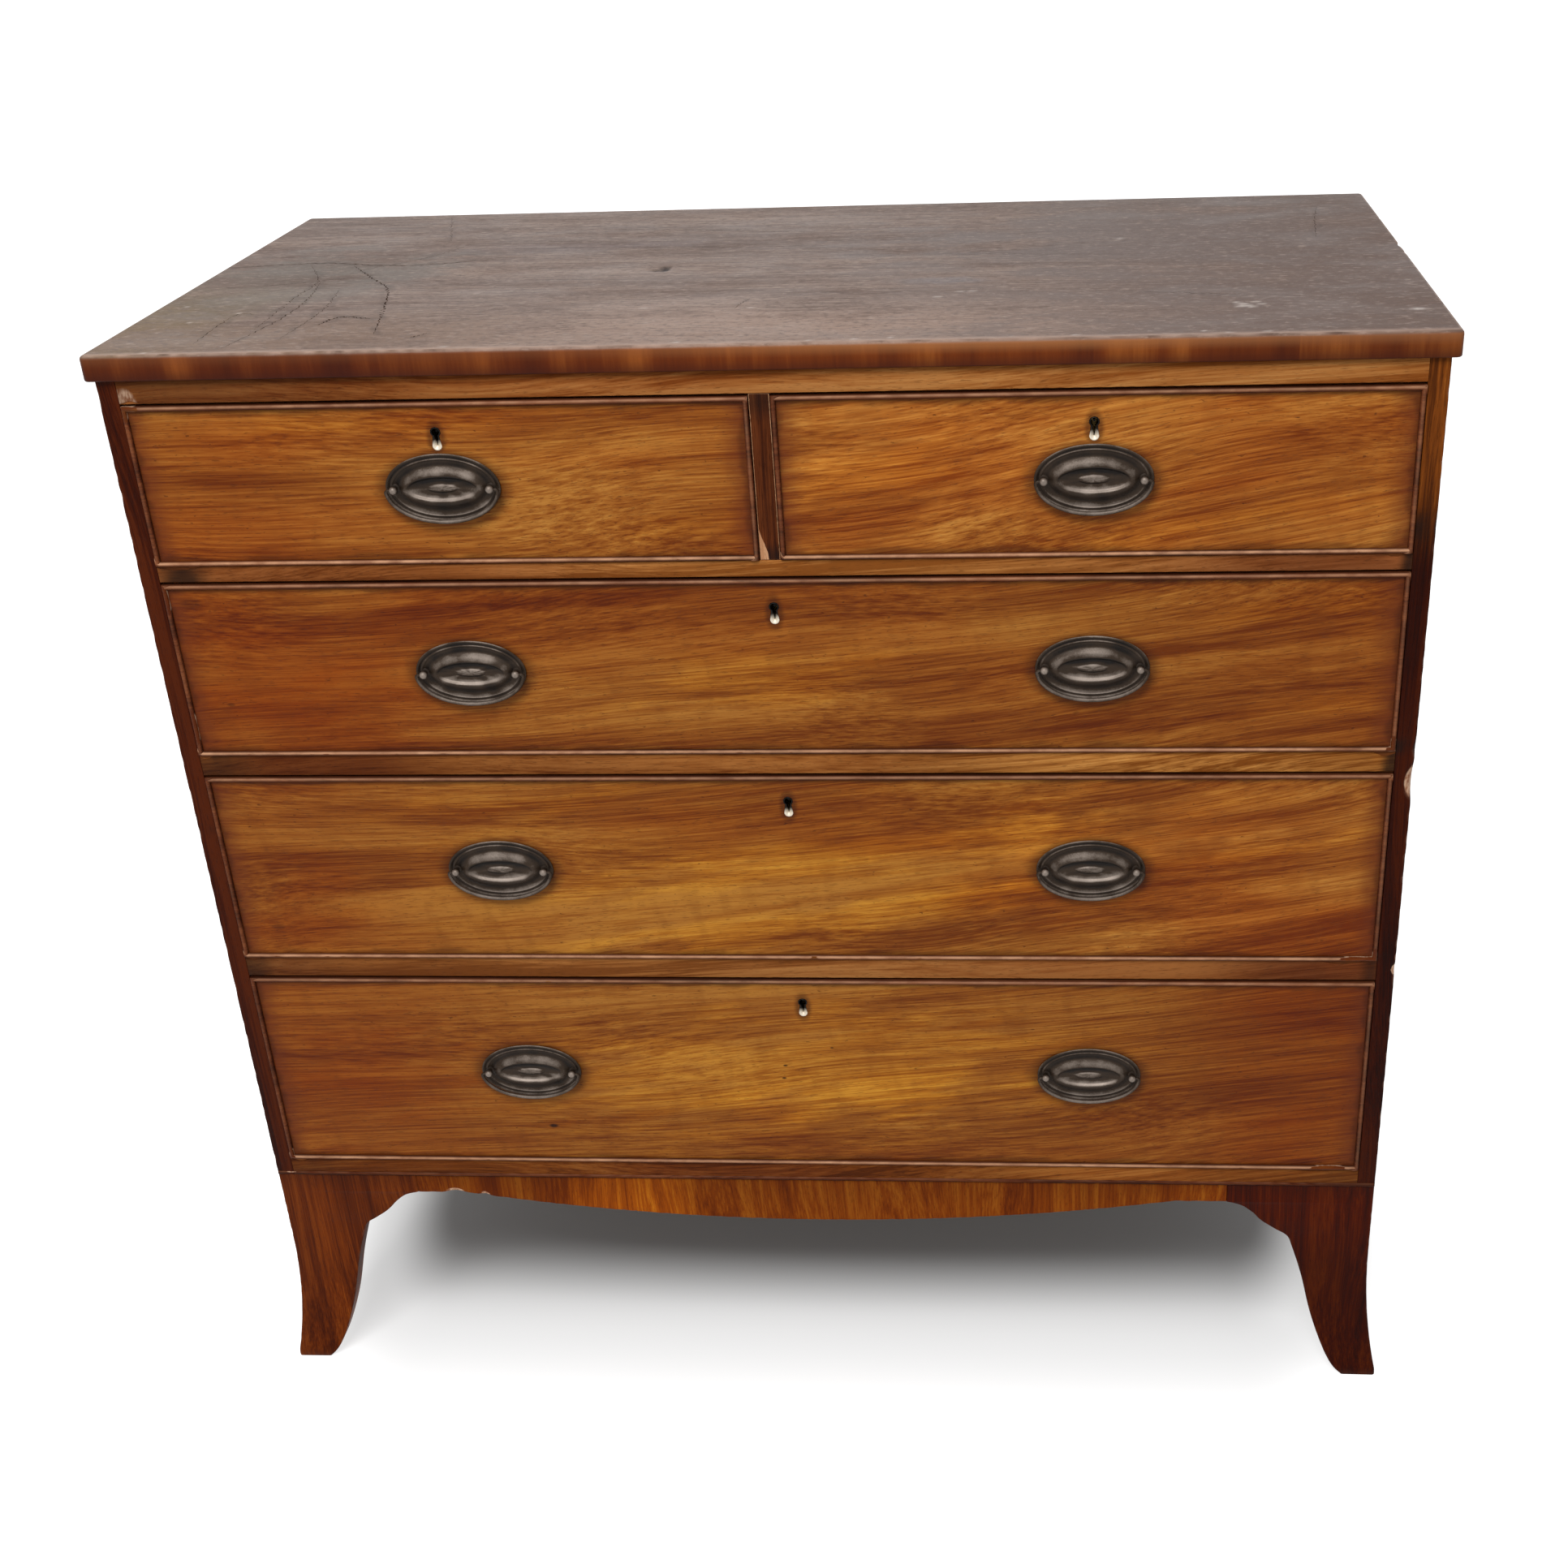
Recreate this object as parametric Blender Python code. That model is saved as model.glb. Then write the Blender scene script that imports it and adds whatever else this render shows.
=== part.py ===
"""A mahogany chest of drawers: two short drawers over three long ones, cock-beaded, on splayed feet.

Lengths are in metres, X runs across the front to the right, Y runs to the back and Z is up. The
origin is on the floor, under the middle of the chest. The carcass and everything on it is placed
from the middle of its front plane, on the floor, and each drawer from the middle of its own lower
front edge.
"""

import math

import bmesh
import bpy

MM = 0.001

# Clearances
GAP = 0.3 * MM  # between two pieces that rest on or fit into each other
OVERRUN = 5 * MM  # how far a cutter runs past what it cuts

# Carcass, outside
CASE_WIDTH = 1048 * MM
CASE_DEPTH = 531 * MM
FOOT_HEIGHT = 220 * MM

# Heights of the rails and of the drawer openings, from the feet upwards
BASE_RAIL_HEIGHT = 20 * MM
LOWER_OPENING = 208 * MM
LOWER_RAIL_HEIGHT = 20 * MM
MIDDLE_OPENING = 185 * MM
MIDDLE_RAIL_HEIGHT = 19 * MM
UPPER_OPENING = 159 * MM
UPPER_RAIL_HEIGHT = 14 * MM
SHORT_OPENING = 136 * MM
TOP_RAIL_HEIGHT = 19 * MM

# Top board
TOP_THICKNESS = 21 * MM
TOP_SIDE_OVERHANG = 7 * MM
TOP_FRONT_OVERHANG = 6 * MM
TOP_BACK_OVERHANG = 4 * MM
TOP_CORNER_RADIUS = 5 * MM
TOP_EDGE_RADIUS = 3.5 * MM

# Boards and joints of the carcass
SIDE_THICKNESS = 16 * MM
RAIL_DEPTH = 60 * MM
RAIL_TENON = 6 * MM
RAIL_SHOULDER = 12 * MM
DUSTBOARD_THICKNESS = 8 * MM
HOUSING_DEPTH = 5 * MM
TONGUE_LENGTH = 8 * MM
TONGUE_THICKNESS = 4 * MM
MUNTIN_WIDTH = 16 * MM
BACK_THICKNESS = 9 * MM
BACK_REBATE = 6 * MM
BACK_GROOVE = 2.5 * MM
BACK_BOARDS = 5
STOP_WIDTH = 40 * MM
STOP_LENGTH = 25 * MM
STOP_HEIGHT = 4 * MM

# Apron and feet
APRON_THICKNESS = 18 * MM
APRON_END_DROP = 20 * MM
APRON_CENTRE_DROP = 48 * MM
APRON_ARC_HALF = 340 * MM
FOOT_ARM = 136 * MM
FOOT_ARM_THICKNESS = 20 * MM
BACK_ARM = 75 * MM
FOOT_SPLAY = 15 * MM
FLARE_HEIGHT = 150 * MM
FLARE_POWER = 2.3
# The inner edge of a foot: height, as a share of the height up to the apron's end, and width, as a
# share of the arm's reach, from the toe up the leg, round the knee and out along the bracket.
FOOT_EDGE_SHARES = (
    (0.0, 0.255),
    (0.095, 0.324),
    (0.32, 0.397),
    (0.55, 0.455),
    (0.73, 0.53),
    (0.80, 0.575),
    (0.845, 0.67),
    (0.89, 0.757),
    (0.94, 0.825),
    (0.98, 0.903),
    (1.0, 1.0),
)

# Drawers
DRAWER_SIDE_GAP = 0.8 * MM
DRAWER_TOP_GAP = 1.9 * MM
DRAWER_LENGTH = 495 * MM
FRONT_THICKNESS = 20 * MM
BEAD_THICKNESS = 4 * MM
BEAD_PROUD = 3 * MM
TRAY_THICKNESS = 9 * MM
TRAY_DROP = 2 * MM
TRAY_BACK_DROP = 8 * MM
BOTTOM_THICKNESS = 6 * MM
BOTTOM_RAISE = 5 * MM
GROOVE_DEPTH = 4.5 * MM
FRONT_GROOVE = 6 * MM
TAIL_LENGTH = 13 * MM
TAIL_PITCH = 45 * MM
TAIL_FLARE = 2.2 * MM
TAIL_NECK_SHARE = 0.56

# Locks
LOCK_WIDTH = 56 * MM
LOCK_HEIGHT = 46 * MM
LOCK_THICKNESS = 10 * MM
KEYHOLE_DROP = 30 * MM
KEYHOLE_HEIGHT = 17 * MM
KEYHOLE_RADIUS = 3.2 * MM
KEYHOLE_NECK = 1.7 * MM
KEYHOLE_FOOT = 2.7 * MM
KEYHOLE_LINER = 0.8 * MM
KEY_SWING = 9 * MM
DRILL_PIN_RADIUS = 1.1 * MM
DRILL_PIN_SETBACK = 4 * MM
BOLT_WIDTH = 30 * MM
BOLT_HEIGHT = 20 * MM
BOLT_THICKNESS = 4 * MM
TALON_RADIUS = 5 * MM
MORTISE_DEPTH = 7 * MM
MORTISE_CLEARANCE = 1 * MM

# Handles: how far above its drawer's middle each row of them is
SHORT_HANDLE_LEVEL = -3 * MM
UPPER_HANDLE_LEVEL = -1.5 * MM
MIDDLE_HANDLE_LEVEL = 0.5 * MM
LOWER_HANDLE_LEVEL = 2 * MM
PLATE_HALF_WIDTH = 46.5 * MM
PLATE_HALF_HEIGHT = 28 * MM
PLATE_WALL = 0.9 * MM
PLATE_BOSS = 5 * MM
POST_OFFSET = 39 * MM
BAIL_AXIS_PROUD = 6.5 * MM
POST_BALL_RADIUS = 3.5 * MM
POST_NECK_RADIUS = 2 * MM
SHANK_RADIUS = 2.2 * MM
NUT_RADIUS = 5.5 * MM
NUT_THICKNESS = 3 * MM
BAIL_LIFT = 1.4 * MM  # how far the grip's middle hangs above the plate's lower edge
BAIL_RADIUS = 1.7 * MM
BAIL_PIN_RADIUS = 1.1 * MM
BAIL_BEND = 2.2 * MM
# The stamped face of a plate, from its rim inwards: half width and half height as shares of the
# plate's, and how far it stands proud, as a share of the boss.
PLATE_RING_SHARES = (
    (1.0, 1.0, 0.18),
    (0.97, 0.95, 0.34),
    (0.915, 0.865, 0.24),
    (0.78, 0.67, 0.32),
    (0.69, 0.53, 0.70),
    (0.63, 0.45, 1.0),
    (0.54, 0.345, 0.86),
    (0.34, 0.17, 0.46),
    (0.15, 0.06, 0.62),
)
# The rings of the face that its hollow back repeats, one wall thickness behind.
PLATE_BACK_RINGS = (7, 5, 3)

# Facets and shading
SHARP_ANGLE = math.radians(40)
PLATE_SIDES = 16
ROUND_SIDES = 8
BAIL_SIDES = 7
BORE_SIDES = 6
BAIL_STEPS = 10
BEND_STEPS = 2
ARC_STEPS = 24
CORNER_STEPS = 3
EDGE_STEPS = 2
BEAD_STEPS = 4
FOOT_STEPS = 2

# Places worked out from the sizes above
BASE_TOP = FOOT_HEIGHT + BASE_RAIL_HEIGHT
LOWER_RAIL_BOTTOM = BASE_TOP + LOWER_OPENING
LOWER_RAIL_TOP = LOWER_RAIL_BOTTOM + LOWER_RAIL_HEIGHT
MIDDLE_RAIL_BOTTOM = LOWER_RAIL_TOP + MIDDLE_OPENING
MIDDLE_RAIL_TOP = MIDDLE_RAIL_BOTTOM + MIDDLE_RAIL_HEIGHT
UPPER_RAIL_BOTTOM = MIDDLE_RAIL_TOP + UPPER_OPENING
UPPER_RAIL_TOP = UPPER_RAIL_BOTTOM + UPPER_RAIL_HEIGHT
TOP_RAIL_BOTTOM = UPPER_RAIL_TOP + SHORT_OPENING
CASE_TOP = TOP_RAIL_BOTTOM + TOP_RAIL_HEIGHT
APRON_END = FOOT_HEIGHT - APRON_END_DROP
CASE_HALF = CASE_WIDTH / 2
INSIDE_HALF = CASE_HALF - SIDE_THICKNESS
BACK_FACE = CASE_DEPTH - BACK_THICKNESS
FRONT_Y = FOOT_SPLAY - (CASE_DEPTH + TOP_BACK_OVERHANG + FOOT_SPLAY) / 2
LONG_WIDTH = 2 * (INSIDE_HALF - DRAWER_SIDE_GAP)
SHORT_WIDTH = INSIDE_HALF - MUNTIN_WIDTH / 2 - 2 * DRAWER_SIDE_GAP
SHORT_CENTRE = (INSIDE_HALF + MUNTIN_WIDTH / 2) / 2
BOLT_Y = FRONT_THICKNESS - LOCK_THICKNESS / 2
BAIL_HALF_WIDTH = POST_OFFSET + POST_BALL_RADIUS + 2 * GAP + BAIL_BEND
BAIL_DROP = PLATE_HALF_HEIGHT - BAIL_LIFT
PIN_START = POST_OFFSET - BAIL_PIN_RADIUS

# Colours, as linear red, green and blue, with roughness and metallic
MAHOGANY_TOP = ((0.105, 0.052, 0.036), 0.42, 0.0)
MAHOGANY_FRONT = ((0.220, 0.082, 0.022), 0.33, 0.0)
MAHOGANY_DARK = ((0.125, 0.040, 0.016), 0.38, 0.0)
PINE = ((0.330, 0.205, 0.105), 0.70, 0.0)
OAK = ((0.300, 0.190, 0.095), 0.62, 0.0)
BRASS = ((0.110, 0.082, 0.060), 0.42, 1.0)
LOCK_BRASS = ((0.420, 0.310, 0.150), 0.40, 1.0)
IRON = ((0.160, 0.150, 0.140), 0.45, 1.0)


def clear_scene():
    for obj in list(bpy.data.objects):
        bpy.data.objects.remove(obj, do_unlink=True)


# Shapes


def point_on(axis, along, u, v):
    """A point at a distance along one axis, with u and v on the other two, in X, Y, Z order."""
    place = [u, v]
    place.insert("xyz".index(axis), along)
    return place


def skinned(sections):
    """A closed skin over loops of equally many points, capped at its first and last loop."""
    form = bmesh.new()
    loops = [[form.verts.new(point) for point in section] for section in sections]
    count = len(loops[0])
    for near, far in zip(loops, loops[1:]):
        for i in range(count):
            j = (i + 1) % count
            form.faces.new((near[i], near[j], far[j], far[i]))
    form.faces.new(loops[0][::-1])
    form.faces.new(loops[-1])
    bmesh.ops.recalc_face_normals(form, faces=form.faces)
    return form


def prism(outline, axis, low, high):
    """An outline in the plane across an axis, extruded along that axis."""
    form = bmesh.new()
    face = form.faces.new([form.verts.new(point_on(axis, low, u, v)) for u, v in outline])
    raised = bmesh.ops.extrude_face_region(form, geom=[face])["geom"]
    shift = point_on(axis, high - low, 0, 0)
    bmesh.ops.translate(form, vec=shift, verts=[g for g in raised if isinstance(g, bmesh.types.BMVert)])
    bmesh.ops.recalc_face_normals(form, faces=form.faces)
    return form


def block(low, high):
    """A box between its lowest and its highest corner."""
    outline = ((low[0], low[1]), (high[0], low[1]), (high[0], high[1]), (low[0], high[1]))
    return prism(outline, "z", low[2], high[2])


def gathered(forms):
    """Several separate forms in one, for a cutter that cuts in several places."""
    whole = bmesh.new()
    for form in forms:
        part = bpy.data.meshes.new("part")
        form.to_mesh(part)
        form.free()
        whole.from_mesh(part)
        bpy.data.meshes.remove(part)
    return whole


def turned(profile, axis, centre, sides=ROUND_SIDES):
    """A profile of (distance along the axis, radius) turned about that axis through a centre."""
    sections = []
    for along, radius in profile:
        loop = []
        for i in range(sides):
            angle = math.tau * (i + 0.5) / sides
            loop.append((centre[0] + radius * math.cos(angle), centre[1] + radius * math.sin(angle)))
        sections.append([point_on(axis, along, u, v) for u, v in loop])
    return skinned(sections)


def arc(centre, radius, start, end, steps):
    """Points of a circular arc in a plane, from one angle to another."""
    angles = [start + (end - start) * i / steps for i in range(steps + 1)]
    return [(centre[0] + radius * math.cos(a), centre[1] + radius * math.sin(a)) for a in angles]


def smoothed(points, steps):
    """Points of a Catmull-Rom curve through the given points, with its ends held."""
    padded = [points[0], *points, points[-1]]
    curve = []
    for a, b, c, d in zip(padded, padded[1:], padded[2:], padded[3:]):
        for i in range(steps):
            t = i / steps
            curve.append(
                tuple(
                    q + 0.5 * t * (r - p + t * (2 * p - 5 * q + 4 * r - s + t * (3 * (q - r) + s - p)))
                    for p, q, r, s in zip(a, b, c, d)
                )
            )
    return [*curve, tuple(points[-1])]


# Objects


def hold(name, parent, place):
    """An empty at a joint or a datum, which carries pieces."""
    empty = bpy.data.objects.new(name, None)
    bpy.context.collection.objects.link(empty)
    empty.parent = parent
    empty.location = place
    return empty


def make(name, form, parent, place=(0, 0, 0), smooth=False):
    mesh = bpy.data.meshes.new(name)
    form.to_mesh(mesh)
    form.free()
    if smooth:
        mesh.shade_smooth()
        mesh.set_sharp_from_angle(angle=SHARP_ANGLE)
    obj = bpy.data.objects.new(name, mesh)
    bpy.context.collection.objects.link(obj)
    obj.parent = parent
    obj.location = place
    return obj


def piece(name, form, parent, finish, place=(0, 0, 0), smooth=False):
    """One sub-part of the chest with a material of its own."""
    obj = make(name, form, parent, place, smooth)
    material = bpy.data.materials.new(name)
    material.use_nodes = True
    shader = material.node_tree.nodes["Principled BSDF"]
    colour, roughness, metallic = finish
    shader.inputs["Base Color"].default_value = (*colour, 1)
    shader.inputs["Roughness"].default_value = roughness
    shader.inputs["Metallic"].default_value = metallic
    obj.data.materials.append(material)
    return obj


def helper(name, form, parent, place=(0, 0, 0)):
    """A form that cuts or joins others and isn't a piece itself."""
    obj = make(name, form, parent, place)
    obj.hide_render = True
    obj.display_type = "WIRE"
    return obj


def combine(target, other, operation):
    modifier = target.modifiers.new(other.name, "BOOLEAN")
    modifier.operation = operation
    modifier.solver = "EXACT"
    modifier.object = other


def cut(target, *cutters):
    for cutter in cutters:
        combine(target, cutter, "DIFFERENCE")


def join(target, *others):
    for other in others:
        combine(target, other, "UNION")


# Carcass


def top_board(case):
    """The top: a rounded rectangle whose upper edge is eased more than its lower one."""
    left, right = -CASE_HALF - TOP_SIDE_OVERHANG, CASE_HALF + TOP_SIDE_OVERHANG
    front, back = -TOP_FRONT_OVERHANG, CASE_DEPTH + TOP_BACK_OVERHANG
    low, high = CASE_TOP + GAP, CASE_TOP + TOP_THICKNESS
    under_radius = TOP_EDGE_RADIUS / 2

    def outline(inset, height):
        radius = TOP_CORNER_RADIUS - inset
        corners = (
            (right - TOP_CORNER_RADIUS, back - TOP_CORNER_RADIUS),
            (left + TOP_CORNER_RADIUS, back - TOP_CORNER_RADIUS),
            (left + TOP_CORNER_RADIUS, front + TOP_CORNER_RADIUS),
            (right - TOP_CORNER_RADIUS, front + TOP_CORNER_RADIUS),
        )
        points = []
        for i, corner in enumerate(corners):
            start = i * math.pi / 2
            points += arc(corner, radius, start, start + math.pi / 2, CORNER_STEPS)
        return [(x, y, height) for x, y in points]

    sections = []
    for i in range(EDGE_STEPS + 1):
        angle = math.pi / 2 * i / EDGE_STEPS
        inset = under_radius * (1 - math.sin(angle))
        sections.append(outline(inset, low + under_radius * (1 - math.cos(angle))))
    for i in range(EDGE_STEPS + 1):
        angle = math.pi / 2 * i / EDGE_STEPS
        inset = TOP_EDGE_RADIUS * (1 - math.cos(angle))
        sections.append(outline(inset, high - TOP_EDGE_RADIUS * (1 - math.sin(angle))))
    piece("top_board", skinned(sections), case, MAHOGANY_TOP, smooth=True)


def side_boards(case, housings):
    """The two ends: flush with the feet at the corners, and lower between them as a side apron."""
    outline = (
        (0, FOOT_HEIGHT),
        (FOOT_ARM + GAP, FOOT_HEIGHT),
        (FOOT_ARM + GAP, APRON_END),
        (CASE_DEPTH - FOOT_ARM - GAP, APRON_END),
        (CASE_DEPTH - FOOT_ARM - GAP, FOOT_HEIGHT),
        (CASE_DEPTH, FOOT_HEIGHT),
        (CASE_DEPTH, CASE_TOP),
        (0, CASE_TOP),
    )
    for name, inner, outer in (
        ("left_side", -INSIDE_HALF, -CASE_HALF),
        ("right_side", INSIDE_HALF, CASE_HALF),
    ):
        side = piece(name, prism(outline, "x", inner, outer), case, MAHOGANY_DARK)
        cut(side, *housings)


def rail(name, case, low, high, stops):
    """A front rail: shouldered tenons at its ends, and the stops of the drawers that it carries."""
    body, tenon = INSIDE_HALF - GAP, INSIDE_HALF + RAIL_TENON - GAP
    outline = (
        (-body, 0),
        (body, 0),
        (body, RAIL_SHOULDER),
        (tenon, RAIL_SHOULDER),
        (tenon, RAIL_DEPTH),
        (-tenon, RAIL_DEPTH),
        (-tenon, RAIL_SHOULDER),
        (-body, RAIL_SHOULDER),
    )
    obj = piece(name, prism(outline, "z", low, high), case, MAHOGANY_FRONT)
    for i, centre in enumerate(stops):
        front = FRONT_THICKNESS + GAP
        form = block(
            (centre - STOP_WIDTH / 2, front, high - STOP_HEIGHT),
            (centre + STOP_WIDTH / 2, front + STOP_LENGTH, high + STOP_HEIGHT),
        )
        join(obj, helper(f"{name}_stop_{i}", form, case))
    return obj


def rail_housing(name, case, low, high):
    """The slot in both sides that takes a rail's tenons."""
    reach = INSIDE_HALF + RAIL_TENON
    return helper(
        f"{name}_housing",
        block((-reach, RAIL_SHOULDER - GAP, low - GAP), (reach, RAIL_DEPTH + GAP, high + GAP)),
        case,
    )


def dustboard(name, case, top):
    """A thin board behind a rail, level with it and tongued into its back edge."""
    half = INSIDE_HALF + HOUSING_DEPTH - GAP
    low, front = top - DUSTBOARD_THICKNESS, RAIL_DEPTH + GAP
    outline = (
        (front - TONGUE_LENGTH, low),
        (BACK_FACE - GAP, low),
        (BACK_FACE - GAP, top),
        (front, top),
        (front, low + TONGUE_THICKNESS),
        (front - TONGUE_LENGTH, low + TONGUE_THICKNESS),
    )
    piece(name, prism(outline, "x", -half, half), case, PINE)


def dustboard_groove(name, case, top):
    low = top - DUSTBOARD_THICKNESS
    half = INSIDE_HALF + RAIL_TENON + OVERRUN
    return helper(
        f"{name}_groove",
        block(
            (-half, RAIL_DEPTH - TONGUE_LENGTH, low - GAP),
            (half, RAIL_DEPTH + OVERRUN, low + TONGUE_THICKNESS + GAP),
        ),
        case,
    )


def board_housing(name, case, low, high):
    """The groove in both sides that takes a board behind a rail."""
    reach = INSIDE_HALF + HOUSING_DEPTH
    return helper(
        f"{name}_housing",
        block((-reach, RAIL_DEPTH - TONGUE_LENGTH, low - GAP), (reach, CASE_DEPTH + OVERRUN, high + GAP)),
        case,
    )


def bolt_mortise(name, case, centre, low):
    """The slot in a rail's underside that a thrown bolt stands in."""
    half = BOLT_WIDTH / 2 + MORTISE_CLEARANCE
    depth = BOLT_THICKNESS / 2 + MORTISE_CLEARANCE
    return helper(
        name,
        block(
            (centre - half, BOLT_Y - depth, low - OVERRUN),
            (centre + half, BOLT_Y + depth, low + MORTISE_DEPTH),
        ),
        case,
    )


def centre_partition(case):
    """The muntin between the short drawers, with the guide board that runs back from it."""
    outline = (
        (0, UPPER_RAIL_TOP + GAP),
        (BACK_FACE - GAP, UPPER_RAIL_TOP + GAP),
        (BACK_FACE - GAP, CASE_TOP),
        (RAIL_DEPTH + GAP, CASE_TOP),
        (RAIL_DEPTH + GAP, TOP_RAIL_BOTTOM - GAP),
        (0, TOP_RAIL_BOTTOM - GAP),
    )
    half = MUNTIN_WIDTH / 2
    piece("centre_partition", prism(outline, "x", -half, half), case, MAHOGANY_FRONT)


def carcass_bottom(case):
    half = INSIDE_HALF + HOUSING_DEPTH - GAP
    form = block((-half, RAIL_DEPTH + GAP, FOOT_HEIGHT), (half, BACK_FACE - GAP, BASE_TOP))
    piece("carcass_bottom", form, case, PINE)


def back_boards(case):
    """Upright boards nailed into the rebates of the sides, with a small V between each two."""
    half = INSIDE_HALF + BACK_REBATE - GAP
    outline = [(half, BACK_FACE), (-half, BACK_FACE), (-half, CASE_DEPTH)]
    for i in range(1, BACK_BOARDS):
        seam = half * (2 * i / BACK_BOARDS - 1)
        outline += [
            (seam - BACK_GROOVE, CASE_DEPTH),
            (seam, CASE_DEPTH - BACK_GROOVE),
            (seam + BACK_GROOVE, CASE_DEPTH),
        ]
    outline.append((half, CASE_DEPTH))
    piece("back_boards", prism(outline, "z", FOOT_HEIGHT, CASE_TOP), case, PINE)


def back_rebate(case):
    reach = INSIDE_HALF + BACK_REBATE
    low = (-reach, BACK_FACE - GAP, APRON_END - OVERRUN)
    high = (reach, CASE_DEPTH + OVERRUN, CASE_TOP + OVERRUN)
    return helper("back_rebate", block(low, high), case)


def front_apron(case):
    """The shaped apron between the front feet, its lower edge a long shallow arc."""
    half = CASE_HALF - FOOT_ARM - GAP
    rise = APRON_CENTRE_DROP - APRON_END_DROP
    radius = (APRON_ARC_HALF**2 + rise**2) / (2 * rise)
    centre = (0, FOOT_HEIGHT - APRON_CENTRE_DROP + radius)
    spread = math.asin(APRON_ARC_HALF / radius)
    low = arc(centre, radius, -math.pi / 2 - spread, -math.pi / 2 + spread, ARC_STEPS)
    high = FOOT_HEIGHT - GAP
    outline = [(half, high), (-half, high), (-half, APRON_END), *low, (half, APRON_END)]
    piece("front_apron", prism(outline, "y", 0, APRON_THICKNESS), case, MAHOGANY_DARK)


def flare(height):
    """How far a foot stands out of the carcass at a height."""
    return FOOT_SPLAY * max(0, 1 - height / FLARE_HEIGHT) ** FLARE_POWER


def foot(name, case, across, back):
    """A splayed foot: an L in plan, whose arms narrow down the leg and sweep out at the toe.

    across is -1 on the left and 1 on the right. A back foot stands flat at the back, and its arm
    there is short.
    """
    sections = []
    levels = [(APRON_END * h, FOOT_ARM * w) for h, w in smoothed(FOOT_EDGE_SHARES, FOOT_STEPS)]
    levels.append((FOOT_HEIGHT - GAP, FOOT_ARM))
    thick = FOOT_ARM_THICKNESS
    for height, width in levels:
        out_x = flare(height)
        out_y = 0 if back else out_x
        front_width = min(width, BACK_ARM) if back else width
        loop = (
            (-out_x, -out_y),
            (front_width - out_x, -out_y),
            (front_width - out_x, thick - out_y),
            (thick - out_x, thick - out_y),
            (thick - out_x, width - out_y),
            (-out_x, width - out_y),
        )
        sections.append(
            [(across * (CASE_HALF - x), CASE_DEPTH - y if back else y, height) for x, y in loop]
        )
    piece(name, skinned(sections), case, MAHOGANY_DARK)


def carcass(case):
    """Every fixed piece of the chest."""
    top_board(case)
    stops = (-SHORT_CENTRE, SHORT_CENTRE)
    rails = (
        ("base_rail", FOOT_HEIGHT, BASE_TOP, stops, ()),
        ("lower_rail", LOWER_RAIL_BOTTOM, LOWER_RAIL_TOP, stops, (0,)),
        ("middle_rail", MIDDLE_RAIL_BOTTOM, MIDDLE_RAIL_TOP, stops, (0,)),
        ("upper_rail", UPPER_RAIL_BOTTOM, UPPER_RAIL_TOP, stops, (0,)),
        ("front_top_rail", TOP_RAIL_BOTTOM, CASE_TOP, (), stops),
    )
    housings = [back_rebate(case)]
    for name, low, high, stop_places, mortises in rails:
        obj = rail(name, case, low, high, stop_places)
        housings.append(rail_housing(name, case, low, high))
        for i, centre in enumerate(mortises):
            cut(obj, bolt_mortise(f"{name}_mortise_{i}", case, centre, low))
        if name in ("lower_rail", "middle_rail", "upper_rail"):
            board = name.replace("rail", "dustboard")
            dustboard(board, case, high)
            cut(obj, dustboard_groove(board, case, high))
            housings.append(board_housing(board, case, high - DUSTBOARD_THICKNESS, high))
    carcass_bottom(case)
    housings.append(board_housing("carcass_bottom", case, FOOT_HEIGHT, BASE_TOP))
    side_boards(case, housings)
    centre_partition(case)
    back_boards(case)
    front_apron(case)
    for depth_name, back in (("front", False), ("back", True)):
        for side_name, across in (("left", -1), ("right", 1)):
            foot(f"{depth_name}_{side_name}_foot", case, across, back)


# Drawers


def beaded_front(width, height):
    """A drawer front with a rounded bead standing proud along its four edges."""
    radius = BEAD_THICKNESS / 2
    shoulder = BEAD_PROUD - radius
    rings = [(0, FRONT_THICKNESS)]
    for along, out in arc((radius, shoulder), radius, math.pi, 0, BEAD_STEPS):
        rings.append((along, -out))
    rings.append((BEAD_THICKNESS, 0))
    sections = []
    for inset, depth in rings:
        half, low, high = width / 2 - inset, inset, height - inset
        sections.append([(-half, depth, low), (half, depth, low), (half, depth, high), (-half, depth, high)])
    return skinned(sections)


def tails(height):
    """The middle and the half width at the neck of each dovetail on a drawer side."""
    count = max(2, round(height / TAIL_PITCH))
    pitch = height / count
    return [(pitch * (i + 0.5), pitch * TAIL_NECK_SHARE / 2) for i in range(count)]


def tray_side_outline(height):
    """A drawer side seen from its end of the chest, with its dovetails forward."""
    shoulder, tip = FRONT_THICKNESS + GAP, FRONT_THICKNESS - TAIL_LENGTH
    outline = [(shoulder, 0), (DRAWER_LENGTH, 0), (DRAWER_LENGTH, height), (shoulder, height)]
    for middle, neck in reversed(tails(height)):
        outline += [
            (shoulder, middle + neck),
            (tip, middle + neck + TAIL_FLARE),
            (tip, middle - neck - TAIL_FLARE),
            (shoulder, middle - neck),
        ]
    return outline


def tail_sockets(width, height):
    """The sockets in both ends of a front, a clearance larger than the tails all round."""
    shoulder, tip = FRONT_THICKNESS + GAP, FRONT_THICKNESS - TAIL_LENGTH - GAP
    forms = []
    for middle, neck in tails(height):
        wide = neck + TAIL_FLARE + GAP
        outline = (
            (shoulder + OVERRUN, middle + neck + GAP),
            (shoulder, middle + neck + GAP),
            (tip, middle + wide),
            (tip, middle - wide),
            (shoulder, middle - neck - GAP),
            (shoulder + OVERRUN, middle - neck - GAP),
        )
        inner, outer = width / 2 - TRAY_THICKNESS - GAP, width / 2 + OVERRUN
        forms += [prism(outline, "x", inner, outer), prism(outline, "x", -outer, -inner)]
    return gathered(forms)


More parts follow.
